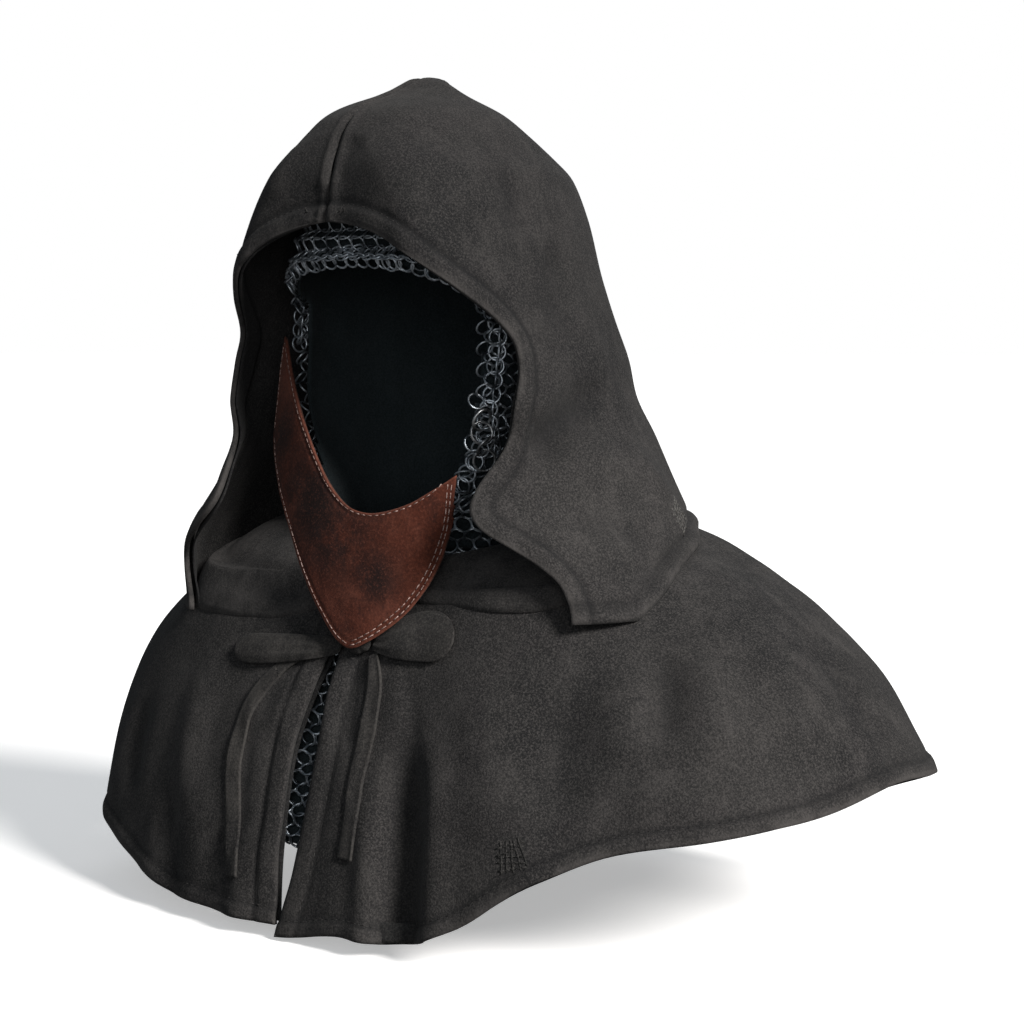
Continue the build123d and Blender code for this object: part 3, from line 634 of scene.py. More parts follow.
class Paint:
    """Builds one node material, a step at a time, on the object's own coordinates."""

    def __init__(self, name: str) -> None:
        """Starts the material with its shader and coordinates."""
        self.material = bpy.data.materials.new(name)
        self.material.use_nodes = True
        self.tree = self.material.node_tree
        self.shader = self.tree.nodes["Principled BSDF"]
        self.coordinates = self.tree.nodes.new("ShaderNodeTexCoord").outputs["Object"]

    def join(self, source, socket) -> None:
        """Links an output to a socket, or sets a plain value on it."""
        if isinstance(source, bpy.types.NodeSocket):
            self.tree.links.new(source, socket)
        elif isinstance(source, tuple):
            socket.default_value = (*source, 1.0)
        else:
            socket.default_value = source

    def set(self, socket: str, source) -> None:
        """Sets or links one of the shader's sockets."""
        self.join(source, self.shader.inputs[socket])

    def noise(self, scale: float, detail: float, roughness: float, stretch: Point = (1.0, 1.0, 1.0)):
        """A noise pattern with so many waves per metre."""
        mapping = self.tree.nodes.new("ShaderNodeMapping")
        mapping.inputs["Scale"].default_value = stretch
        self.tree.links.new(self.coordinates, mapping.inputs["Vector"])
        node = self.tree.nodes.new("ShaderNodeTexNoise")
        node.inputs["Scale"].default_value = scale
        node.inputs["Detail"].default_value = detail
        node.inputs["Roughness"].default_value = roughness
        self.tree.links.new(mapping.outputs["Vector"], node.inputs["Vector"])
        return node.outputs["Fac"]

    def attribute(self, name: str):
        """A number stored on the mesh's vertices."""
        node = self.tree.nodes.new("ShaderNodeAttribute")
        node.attribute_name = name
        return node.outputs["Fac"]

    def ramp(self, source, low: float, high: float):
        """Spreads a pattern so that low becomes 0 and high becomes 1."""
        node = self.tree.nodes.new("ShaderNodeMapRange")
        node.interpolation_type = "SMOOTHSTEP"
        node.inputs["From Min"].default_value = low
        node.inputs["From Max"].default_value = high
        if low > high:
            node.interpolation_type = "LINEAR"
        self.tree.links.new(source, node.inputs["Value"])
        return node.outputs["Result"]

    def math(self, operation: str, first, second):
        """Combines two numbers."""
        node = self.tree.nodes.new("ShaderNodeMath")
        node.operation = operation
        self.join(first, node.inputs[0])
        self.join(second, node.inputs[1])
        return node.outputs["Value"]

    def mix(self, share, first, second):
        """Mixes two colours by a share."""
        node = self.tree.nodes.new("ShaderNodeMix")
        node.data_type = "RGBA"
        self.join(share, node.inputs["Factor"])
        self.join(first, node.inputs["A"])
        self.join(second, node.inputs["B"])
        return node.outputs["Result"]

    def over(self, under, colour: Point, pattern, low: float, high: float, strength=1.0):
        """Lays a colour over another where a pattern goes from low to high.

        Args:
            under: the colour so far.
            colour: what is laid over it.
            pattern: where it shows.
            low: the pattern's value where nothing shows.
            high: the pattern's value where most shows.
            strength: how much shows there, a number or a pattern.

        Returns:
            The mixed colour.
        """
        return self.mix(self.math("MULTIPLY", self.ramp(pattern, low, high), strength), under, colour)

    def bump(self, height, distance: float, strength: float) -> None:
        """Gives the surface relief from a height pattern."""
        node = self.tree.nodes.new("ShaderNodeBump")
        node.inputs["Distance"].default_value = distance
        node.inputs["Strength"].default_value = strength
        self.tree.links.new(height, node.inputs["Height"])
        self.tree.links.new(node.outputs["Normal"], self.shader.inputs["Normal"])


def material_of(recipe: Wool | Suede | Steel | Thread) -> Material:
    """A dataclass field that holds the material of a recipe."""
    return field(default_factory=recipe.build)


@dataclass
class Wardrobe:
    """Every finish of the coif, made once."""

    wool: Material = material_of(Wool("wool"))
    # painted shade: the turned-in strips get a darker copy of the same wool
    wool_turned: Material = material_of(
        Wool(
            "wool_turned", colour=(0.016, 0.016, 0.016), rubbed=(0.040, 0.039, 0.038),
            soiled=(0.009, 0.009, 0.010),
        )
    )
    tie_cloth: Material = material_of(
        Wool(
            "tie_cloth", colour=(0.022, 0.021, 0.020), rubbed=(0.062, 0.058, 0.054),
            soiled=(0.011, 0.011, 0.012), relief=0.0004,
        )
    )
    # the lining's finish, also used for the sheet of painted shade under the shoulder mail
    lining: Material = material_of(
        Wool(
            "lining", colour=(0.020, 0.027, 0.030), rubbed=(0.034, 0.043, 0.047),
            soiled=(0.012, 0.017, 0.019),
        )
    )
    leather: Material = material_of(Suede())
    leather_backing: Material = material_of(
        Suede(
            "leather_backing", colour=(0.06, 0.028, 0.02), light=(0.10, 0.05, 0.035),
            dark=(0.025, 0.014, 0.011),
        )
    )
    mail: Material = material_of(Steel("mail"))
    large_rings: Material = material_of(
        Steel("large_rings", colour=(0.42, 0.43, 0.44), dark=(0.09, 0.095, 0.10))
    )
    pale_thread: Material = material_of(
        Thread("pale_thread", colour=(0.42, 0.31, 0.28), dark=(0.13, 0.07, 0.055))
    )
    thread: Material = material_of(
        Thread("thread", colour=(0.10, 0.096, 0.09), dark=(0.028, 0.028, 0.028))
    )
    dark_thread: Material = material_of(
        Thread("dark_thread", colour=(0.040, 0.038, 0.036), dark=(0.008, 0.008, 0.008))
    )


def piece(
    name: str,
    bm: BMesh,
    finish: Material,
    body: str = "coif",
    replaces: Sequence[str] = (),
    thickness: float = 0.0,
    smooth: int = 0,
) -> bpy.types.Object:
    """Turns a bmesh into a finished piece that rides on a body.

    Args:
        name: the piece's name.
        bm: its shape in metres, freed here.
        finish: its material.
        body: the body that it rides on.
        replaces: the CAD nodes that it stands for.
        thickness: cloth thickness in mm, inwards from the faces.
        smooth: levels of subdivision.

    Returns:
        The linked object.
    """
    mesh = bpy.data.meshes.new(name)
    bm.to_mesh(mesh)
    bm.free()
    mesh.shade_smooth()
    mesh.materials.append(finish)
    thing = bpy.data.objects.new(name, mesh)
    bpy.context.collection.objects.link(thing)
    if thickness:
        wall = thing.modifiers.new("thickness", "SOLIDIFY")
        wall.thickness = thickness * MM
        wall.offset = -1.0
        wall.use_even_offset = False
    if smooth:
        levels = thing.modifiers.new("rounding", "SUBSURF")
        levels.levels = smooth
        levels.render_levels = smooth
    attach(thing, body)
    if replaces:
        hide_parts(*replaces)
    log.info("%s: %d faces", name, len(mesh.polygons))
    return thing


def dress(bm: BMesh, creases: Sequence[Crease], centre: Vector) -> tuple:
    """Turns a cloth outwards and lays its creases.

    Args:
        bm: the cloth.
        creases: its ridges and valleys.
        centre: a point in metres on the line that its faces point away from.

    Returns:
        The vertex layers of its wear and its shade.
    """
    face_outwards(bm, centre)
    bm.verts.layers.float.new("shade")
    plain = BVHTree.FromBMesh(bm)
    for crease in creases:
        crease.apply(bm, plain)
    bm.normal_update()
    wear = bm.verts.layers.float.new("wear")
    return wear, bm.verts.layers.float["shade"]


def push(moves: Sequence[tuple[bmesh.types.BMVert, float]], seam_behind: float) -> None:
    """Moves vertices along their normals and closes the seam at the middle.

    Args:
        moves: each vertex with its move in mm.
        seam_behind: the y in metres behind which the two halves meet at a seam.
    """
    for vert, move in moves:
        vert.co += vert.normal * move * MM
        if vert.co.y > seam_behind and abs(vert.co.x) < SEAM_SNAP:
            vert.co.x = 0.0


def mesh_area(bm: BMesh) -> float:
    """The area of a sheet in square metres."""
    return sum(face.calc_area() for face in bm.faces)


class Route:
    """A line of points in metres that is read by the distance along it."""

    def __init__(self, line: Sequence[Vector]) -> None:
        """Adds up the distances from the line's start."""
        self.line = line
        self.lengths = [0.0]
        for here, after in zip(line, line[1:]):
            self.lengths.append(self.lengths[-1] + (after - here).length)

    def at(self, travelled: float) -> tuple[Vector, Vector, int]:
        """Reads the line at a distance from its start.

        Args:
            travelled: the distance in metres.

        Returns:
            The point there, the direction of the line and the number of the line's point before it.
        """
        index = min(max(bisect_left(self.lengths, travelled) - 1, 0), len(self.line) - 2)
        here, after = self.line[index], self.line[index + 1]
        step = max(self.lengths[index + 1] - self.lengths[index], 1e-9)
        return here.lerp(after, (travelled - self.lengths[index]) / step), after - here, index


@dataclass(frozen=True)
class Stitching:
    """Rows of stitches, with the thread's radius and the stitches' length and spacing in mm."""

    radius: float
    length: float
    pitch: float

    def stitch(self, bm: BMesh, centre: Vector, along: Vector, normal: Vector) -> None:
        """Adds one stitch: a short thread with tapered ends.

        Args:
            bm: where it goes.
            centre: its middle in metres.
            along: the direction of sewing.
            normal: the surface's outward direction.
        """
        radius, length = self.radius * MM, self.length * MM
        made = bmesh.ops.create_cone(
            bm, cap_ends=True, segments=6, radius1=radius, radius2=radius, depth=length
        )["verts"]
        side = normal.cross(along).normalized()
        up = along.cross(side).normalized()
        turn = Matrix((side, up, along)).transposed()
        for vert in made:
            to_end = vert.co.z / (length / 2)
            vert.co.y -= radius * 0.9 * to_end**2
            vert.co = centre + turn @ vert.co

    def run(self, bm: BMesh, line: Sequence[Vector], tree: BVHTree, lift: float) -> None:
        """Sews along a line of points in metres, held to the surface in tree."""
        route = Route(line)
        travelled = self.pitch * MM / 2
        while travelled < route.lengths[-1]:
            point, direction, _ = route.at(travelled)
            centre, normal = tree.find_nearest(point)[:2]
            along = direction - normal * direction.dot(normal)
            if along.length > 1e-7:
                self.stitch(bm, centre + normal * lift * MM, along.normalized(), normal)
            travelled += self.pitch * MM


@dataclass
class HoodSet:
    """The hood halves, their turned face edges and their seams, in mm.

    Below bend_height the rows of the cloth bend to follow the cape.
    """

    wardrobe: Wardrobe
    columns: int = 96
    rows: int = 168
    cloth: float = 3.0
    hem: float = 12.0
    band: float = 15.0
    brow: float = -50.2
    turn_in: float = 14.0
    curl_in: float = 9.5
    clearance: float = 1.2
    rim_floor: dict = field(default_factory=lambda: {Side.LEFT: -281.0, Side.RIGHT: -292.0})
    bend_height: float = -200.0
    face_edge: Table = Table(
        [(50.2, 0.0), (51.2, 12.0), (53.2, 24.0), (57.1, 38.0), (63.0, 52.0), (72.0, 67.0), (85.0, 84.0),
         (103.0, 100.0), (120.0, 110.5), (137.0, 115.0), (155.0, 114.5), (172.0, 111.5), (190.0, 106.5),
         (207.0, 101.5), (218.5, 102.0), (228.0, 110.0), (237.0, 124.5), (248.2, 141.0), (262.0, 153.5),
         (282.1, 160.0), (345.0, 161.0)]
    )
    levels: Table = Table(
        [(0.0, 42.0), (0.05, 36.0), (0.10, 26.0), (0.20, 1.0), (0.31, -30.0), (0.355, -44.0),
         (0.39, -50.4), (0.43, -55.0), (0.47, -63.0), (0.53, -80.0), (0.62, -113.0), (0.73, -160.0),
         (0.83, -200.0), (1.0, -300.0)]
    )
    creases: tuple[Crease, ...] = (
        Crease(((522, 458), (562, 425), (612, 385)), -11.0, 12.0),
        Crease(((528, 482), (580, 460), (640, 466), (688, 525)), 6.5, 16.0),
        Crease(((560, 525), (620, 522), (670, 548)), -4.0, 12.0),
        Crease(((505, 165), (515, 200), (520, 240)), -4.5, 12.0),
        Crease(((550, 235), (560, 290), (562, 335)), -4.0, 12.0),
        Crease(((480, 330), (530, 400), (560, 425)), 3.0, 16.0),
        Crease(((360, 130), (330, 180), (300, 235)), -2.0, 10.0),
        Crease(((320, 120), (290, 160), (268, 210)), 2.0, 12.0),
        Crease(((575, 300), (605, 370), (625, 430)), 2.5, 14.0),
        Crease(((575, 175), (583, 200)), 4.0, 9.0),
        Crease(((255, 245), (245, 300), (238, 350)), -2.5, 9.0),
        Crease(((590, 585), (640, 575), (695, 545)), -2.2, 7.0),
        Crease(((580, 608), (640, 592), (700, 560)), 1.6, 5.0),
        Crease(((400, 130), (420, 200), (430, 260)), 1.6, 20.0),
        Crease(((525, 535), (552, 560), (568, 600)), 2.0, 7.0),
    )

    def opening(self, height: float, side: Side) -> float:
        """Half width of the face opening at a height in mm, or 0 above the brow."""
        if height > self.brow:
            return 0.0
        turned_in = self.turn_in * smooth_step(258.0, 292.0, -height) if side is Side.RIGHT else 0.0
        return max(self.face_edge(-height)[0] - turned_in, 0.0)

    def rim(self, around: float) -> float:
        """The height at which the hood meets the cape, at a place round the hood."""
        height = -262.0
        for _ in range(7):
            point = HOOD.point(height, around)
            across = math.hypot(point.x, point.y - CAPE.axis_back)
            angle = math.degrees(math.atan2(point.x, CAPE.axis_back - point.y))
            height += (CAPE.height_at(angle, across) + self.clearance - height) * 0.7
        return max(height, self.rim_floor[Side.LEFT if around > 0 else Side.RIGHT])

    def shares(self, height: float, across: float, side: Side, band: float) -> tuple[float, float]:
        """How far round the hood the face edge and a point of the cloth are, at a height."""
        first = HOOD.around_at(height, self.opening(height, side))
        if band:
            return first, first + across * band / sum(HOOD.lengths(height, 0.0)[1])
        spread = across + 0.45 * across * (across - 1)
        return first, first + (1 - first) * spread

    def place(self, across: float, down: float, side: Side, out: float = 0.0, band: float = 0.0) -> Vector:
        """A point of one hood half, from the face edge back to the seam and from peak to rim.

        Args:
            across: 0 at the face edge or front seam, 1 at the back seam.
            down: 0 at the peak and 1 at the rim.
            side: which half.
            out: how far the point is moved out in mm.
            band: if given, only a strip this wide in mm beside the face edge is made.

        Returns:
            The point in mm.
        """
        height = self.levels(down)[0]
        first, share = self.shares(height, across, side, band)
        if height < self.bend_height:
            lower = (self.bend_height - height) / 100
            height = self.bend_height + (self.rim(share * side.value) - self.bend_height) * lower
            first, share = self.shares(height, across, side, band)
        if side is Side.RIGHT:
            out -= self.curl_in * smooth_step(245.0, 288.0, -height) * fall(0.02, 0.4, share - first)
        point = HOOD.point(height, share * side.value, out)
        point.x *= smooth_step(-0.01, 0.035, down)
        return point

    def edge(self, side: Side, steps: int = 220) -> list[Vector]:
        """Points in metres along the face edge from brow to rim."""
        first = 0.39
        return [self.place(0.0, first + (1 - first) * step / steps, side) * MM for step in range(steps + 1)]

    def half(self, side: Side) -> tuple[BMesh, BVHTree]:
        """Makes one half with its folds, rolled edge and seam.

        Args:
            side: which half.

        Returns:
            The sheet and a tree of its faces.
        """
        bm = grid(self.columns, self.rows, lambda u, v: self.place(u, 1 - v, side))
        wear, shade = dress(bm, self.creases, Vector((0, 0, 0)))
        edge = distance_tree(self.edge(side))
        foot = distance_tree(self.place(i / 260, 1.0, side) * MM for i in range(261))
        moves = []
        for vert in bm.verts:
            distance = edge.find(vert.co)[2] / MM
            to_rim = foot.find(vert.co)[2] / MM
            seam = abs(vert.co.x) / MM
            high = smooth_step(-0.235, -0.19, vert.co.z)
            groove = bell(distance, self.hem, 2.2)
            hem = 1.4 * fall(self.hem - 1.5, self.hem + 3, distance) - 1.7 * groove
            roll = fall(0.0, 4.0, distance)
            ridge = 1.5 * bell(seam, 4.5, 3.0) - 1.4 * bell(seam, 0.0, 1.8)
            ridge *= 0.4 + 0.6 * high
            spot = Vector((vert.co.x * 13, vert.co.y * 13, vert.co.z * 8 + 3.1 * side.value))
            broad = 2.6 * noise.noise(spot) * smooth_step(6, 40, seam)
            fine = 0.7 * noise.noise(spot * 3.3) * smooth_step(2, 14, seam)
            rim = 3.4 * fall(4.0, 10.0, to_rim) - 1.6 * bell(to_rim, 10.5, 2.2)
            rim -= 1.6 * fall(0.0, 3.0, to_rim)
            rim *= smooth_step(4.0, 30.0, distance)
            moves.append((vert, hem - roll + ridge + broad + fine + rim))
            # painted shade: a darker upper hood and a dark line in the hem groove
            upper = 0.30 * smooth_step(-0.22, -0.10, vert.co.z)
            vert[shade] = min(vert[shade] + 0.75 * groove + upper, 1.0)
            # painted shadow: a dark line where the hood's rim lies over the cape
            vert[shade] = min(vert[shade] + 0.6 * bell(to_rim, 10.5, 2.6), 1.0)
            rubbed = 0.5 * fall(1.0, 7.0, to_rim) + 0.75 * fall(0.5, 5.0, distance)
            vert[wear] = rubbed + 0.3 * bell(seam, 4.5, 2.5)
        push(moves, -math.inf)
        bm.normal_update()
        return bm, BVHTree.FromBMesh(bm)

    def make(self) -> None:
        """Builds both halves, the turned bands and the stitches."""
        for side in Side:
            bm, tree = self.half(side)
            area = mesh_area(bm)
            shell = piece(
                f"hood_cloth_{side.word}", bm, self.wardrobe.wool,
                replaces=[f"hood_{side.word}"], thickness=self.cloth,
            )
            under = -self.cloth - 0.1
            band = grid(7, 150, lambda u, v: self.place(u, 0.40 + 0.595 * (1 - v), side, under, self.band))
            face_outwards(band)
            facing = piece(
                f"face_band_{side.word}", band, self.wardrobe.wool_turned,
                replaces=[f"face_facing_{side.word}"], thickness=1.2,
            )
            f"mantle_{side.word}"
            self.sew(side, tree)

    def sew(self, side: Side, tree: BVHTree) -> None:
        """Sews the hem line beside the face edge."""
        edge = self.edge(side, 300)
        line = []
        for before, here, after in zip(edge, edge[2:], edge[4:]):
            normal = tree.find_nearest(here)[1]
            along = (after - before).normalized()
            inward = normal.cross(along) * side.value
            line.append(here + inward * self.hem * MM)
        bm = bmesh.new()
        Stitching(radius=0.35, length=3.6, pitch=5.2).run(bm, line, tree, 0.1)
        piece(f"hood_hem_stitches_{side.word}", bm, self.wardrobe.dark_thread)


@dataclass
class CapeSet:
    """The cape halves, their hems and front strips, and the stitches along them."""

    wardrobe: Wardrobe
    columns: int = 170
    rows: int = 86
    cloth: float = 3.0
    hem: float = 10.0
    strip: float = 15.0
    front_edges: dict = field(
        default_factory=lambda: {
            Side.LEFT: Table(
                [(-480, -9.0), (-461, -5.0), (-436, 0.5), (-399, 3.0), (-361, 2.5), (-315, 0.0),
                 (-262, -1.0)]
            ),
            Side.RIGHT: Table(
                [(-480, -8.0), (-448, -10.4), (-417, -12.2), (-368, -16.5), (-340, -14.5), (-312, -9.2),
                 (-262, -2.0)]
            ),
        }
    )
    creases: tuple[Crease, ...] = (
        Crease(((388, 700), (402, 780), (404, 860), (398, 960)), -8.0, 15.0, True),
        Crease(((424, 700), (434, 800), (432, 880), (430, 960)), 6.0, 15.0, True),
        Crease(((366, 780), (366, 850), (366, 960)), 4.0, 11.0, True),
        Crease(((300, 780), (262, 850), (240, 940)), 3.0, 14.0, True),
        Crease(((170, 760), (165, 830), (170, 910)), -4.0, 14.0, True),
        Crease(((664, 640), (668, 690), (655, 750)), -6.5, 13.0),
        Crease(((700, 650), (712, 710), (725, 770)), 5.0, 16.0),
        Crease(((620, 660), (622, 710), (615, 770)), 3.0, 14.0),
        Crease(((560, 690), (570, 760), (560, 830)), -4.0, 20.0),
        Crease(((800, 620), (850, 700), (880, 750)), -4.0, 16.0),
        Crease(((760, 640), (790, 710), (810, 770)), 3.0, 14.0),
        Crease(((470, 680), (480, 760), (470, 850)), 3.0, 18.0),
        Crease(((146, 690), (136, 740), (134, 800)), -5.0, 12.0),
        Crease(((120, 700), (112, 750)), 2.5, 8.0),
        Crease(((200, 660), (188, 740), (190, 840)), 2.5, 16.0),
        Crease(((250, 700), (243, 780), (240, 860)), -2.0, 8.0),
        Crease(((325, 655), (290, 690), (270, 740)), 2.2, 8.0),
        Crease(((345, 655), (330, 700), (322, 760)), 1.8, 5.0),
        Crease(((362, 650), (352, 700), (345, 760)), -1.8, 5.0),
        Crease(((400, 650), (410, 700), (412, 750)), -1.6, 7.0),
        Crease(((620, 810), (660, 800), (720, 800)), 2.0, 12.0),
    )

    def place(self, across: float, down: float, side: Side, out: float = 0.0) -> Vector:
        """A point of one cape half, from its front edge round to the back seam.

        Args:
            across: 0 at the front edge, 1 at the back seam.
            down: 0 at the neckline and 1 at the hem.
            side: which half.
            out: how far the point is moved out in mm.

        Returns:
            The point in mm.
        """
        top, _, foot = CAPE.line(side.value * 2.0)
        height = top[1] + (foot[1] - top[1]) * down
        edge_angle = CAPE.angle_at(self.front_edges[side](height)[0], height)
        spread = across + 0.35 * across * (across - 1)
        angle = edge_angle + (180 * side.value - edge_angle) * spread
        swell = math.sin(math.pi * min(down * 1.05, 1))
        if side is Side.LEFT:
            out -= 9.0 * smooth_step(0.55, 1.0, down) * bell(angle, 98, 34)
            down *= 1 - 0.042 * bell(angle, 15, 11)
        else:
            out += 11.0 * swell * bell(angle, -100, 42)
            out -= 2.5 * smooth_step(0.75, 1.0, down) * fall(0.0, 0.08, across)
        return self.signed(angle, down, side, out)

    @staticmethod
    def signed(angle: float, down: float, side: Side, out: float) -> Vector:
        """A cape point that keeps to its own half's form, also just past the centre front."""
        if angle * side.value >= 0:
            return CAPE.point(angle, down, out)
        mirrored = CAPE.point(-angle, down, out)
        mirrored.x *= -1
        return mirrored

    def half(self, side: Side) -> tuple[BMesh, BVHTree]:
        """Makes one half with its folds, hem and front edge."""
        bm = grid(self.columns, self.rows, lambda u, v: self.place(u, 1 - v, side))
        wear, shade = dress(bm, self.creases, CAPE_AXIS)
        hem_line = distance_tree(self.place(i / 500, 1.0, side) * MM for i in range(501))
        front_line = distance_tree(self.place(0.0, i / 200, side) * MM for i in range(201))
        moves = []
        for vert in bm.verts:
            to_hem = hem_line.find(vert.co)[2] / MM
            to_front = front_line.find(vert.co)[2] / MM
            seam = abs(vert.co.x) / MM if vert.co.y > 0 else 99.0
            move = 1.2 * fall(self.hem - 1, self.hem + 3, to_hem)
            grooves = bell(to_hem, self.hem, 2.0) + bell(to_front, self.strip, 1.9)
            move -= 1.2 * grooves
            # painted shade: dark lines in the hem and front-strip grooves
            vert[shade] = min(vert[shade] + 0.7 * grooves, 1.0)
            move += 0.8 * fall(13, 17, to_front)
            move -= 0.9 * fall(0, 3.5, min(to_hem, to_front))
            move += 1.3 * bell(seam, 4.5, 3.0) - 1.3 * bell(seam, 0.0, 1.8)
            spot = Vector((vert.co.x * 11, vert.co.y * 11, vert.co.z * 5 + 9.7))
            free = smooth_step(0, 40, seam) if vert.co.y > 0 else 1.0
            move += (2.6 * noise.noise(spot) + 0.8 * noise.noise(spot * 3.7)) * free
            turn = math.degrees(math.atan2(vert.co.x, CAPE.axis_back * MM - vert.co.y))
            low = smooth_step(0.27, 0.40, -vert.co.z)
            pleat = noise.noise(Vector((turn / 8.5, vert.co.z * 4, 4.4))) * 4.6
            move += pleat * low * free * smooth_step(6, 30, to_front)
            moves.append((vert, move))
            vert[wear] = 0.8 * fall(0.5, 5, to_hem) + 0.2 * fall(0.5, 4, to_front)
        push(moves, 0.0)
        bm.normal_update()
        return bm, BVHTree.FromBMesh(bm)

    def make(self) -> dict[Side, BVHTree]:
        """Builds both halves with their strips and stitches, and returns their faces."""
        trees = {}
        for side in Side:
            bm, tree = self.half(side)
            trees[side] = tree
            area = mesh_area(bm)
            shell = piece(
                f"cape_cloth_{side.word}", bm, self.wardrobe.wool,
                replaces=[f"mantle_{side.word}"], thickness=self.cloth,
            )
            hem_band = self.band(side, "hem", "mantle_hem", (130, 4), (0.03, 0.965), (0.935, 0.058))
            front_band = self.band(side, "front", "front_facing", (5, 60), (0.001, 0.05), (0.004, 0.986))
            f"mail_mantle_{side.word}"
            self.sew(side, tree)
        return trees

    def band(
        self, side: Side, edge: str, node: str, divisions: tuple[int, int], across: tuple[float, float],
        down: tuple[float, float],
    ) -> bpy.types.Object:
        """Makes one turned strip behind the cloth.

        Args:
            side: which half.
            edge: the edge it lies behind, as said in the piece's name.
            node: the CAD node that it stands for, without its side.
            divisions: how many faces it has across and down.
            across: where it starts and how wide it is, as shares of the way round.
            down: where it starts and how deep it is, as shares of the way down.

        Returns:
            The strip.
        """
        under = -self.cloth - 1.4
        bm = grid(
            *divisions,
            lambda u, v: self.place(across[0] + across[1] * u, down[0] + down[1] * (1 - v), side, under),
        )
        face_outwards(bm, CAPE_AXIS)
        return piece(
            f"cape_{edge}_band_{side.word}", bm, self.wardrobe.wool_turned,
            replaces=[f"{node}_{side.word}"], thickness=1.0,
        )

    def sew(self, side: Side, tree: BVHTree) -> None:
        """Sews the hem and the front strip."""
        bm = bmesh.new()
        stitches = Stitching(radius=0.35, length=3.8, pitch=5.6)
        hem = [(index / 400, 1.0, index / 400, 0.9, self.hem) for index in range(5, 400)]
        front = [(0.0, index / 200, 0.06, index / 200, self.strip) for index in range(8, 190)]
        for route in (hem, front):
            line = []
            for across, down, inner_across, inner_down, inset in route:
                point = self.place(across, down, side)
                inner = self.place(inner_across, inner_down, side)
                line.append((point + (inner - point).normalized() * inset) * MM)
            stitches.run(bm, line, tree, 0.1)
        piece(f"cape_stitches_{side.word}", bm, self.wardrobe.dark_thread)


@dataclass
class CollarSet:
    """The throat collar inside the hood, with its rolled rim on the cape."""

    wardrobe: Wardrobe
    columns: int = 120
    rows: int = 40
    cloth: float = 3.0
    clearance: float = 1.6
    spread: dict = field(
        default_factory=lambda: {
            Side.LEFT: Table(
                [(0, 8.0), (15, 7.0), (30, 6.5), (44, 6.5), (55, 5.0), (75, 3.0), (90, 2.5), (180, 2.5)]
            ),
            Side.RIGHT: Table(
                [(0, 8.0), (10, 11.0), (28, 16.0), (45, 13.0), (60, 8.0), (80, 4.0), (95, 2.5), (180, 2.5)]
            ),
        }
    )

    def place(self, across: float, down: float, side: Side) -> Vector:
        """A point of one collar half, from the centre front to the back and from top to rim."""
        angle = 180 * across
        neck = CAPE.line(angle * side.value)[0]
        reach = neck[0] + self.spread[side](angle)[0]
        rim = (reach, CAPE.height_at(angle * side.value, reach) + self.cloth + self.clearance)
        top = (CAPE.reach(105, 112, 76, angle), -CAPE.blend(252, 226, 211, angle))
        reach = top[0] + (rim[0] - top[0]) * down
        height = top[1] + (rim[1] - top[1]) * down + 5.5 * math.sin(math.pi * down)
        carried = CAPE.height_at(angle * side.value, max(reach, neck[0])) + self.cloth + self.clearance
        height += max(carried - height, 0) * smooth_step(neck[0] - 32, neck[0] - 2, reach)
        bead = bell(down, 0.92, 0.06)
        height += 2.2 * bead - 2.6 * smooth_step(0.95, 1.0, down)
        return CAPE.polar(angle * side.value, reach, height)

    def make(self) -> None:
        """Builds both halves."""
        for side in Side:
            bm = grid(self.columns, self.rows, lambda u, v: self.place(u, 1 - v, side))
            bmesh.ops.recalc_face_normals(bm, faces=bm.faces)
            bm.normal_update()
            if sum(face.normal.z for face in bm.faces) < 0:
                bmesh.ops.reverse_faces(bm, faces=bm.faces)
                bm.normal_update()
            wear = bm.verts.layers.float.new("wear")
            for vert in bm.verts:
                vert[wear] = 0.3
                vert.co += vert.normal * MM * 2.0 * noise.noise(vert.co * 22)
                if abs(vert.co.x) < 0.0012:
                    vert.co.x = 0.0
            bm.normal_update()
            area = mesh_area(bm)
            thing = piece(
                f"collar_cloth_{side.word}", bm, self.wardrobe.wool,
                replaces=[f"throat_collar_{side.word}"], thickness=self.cloth,
            )
            f"cape_cloth_{side.word}"


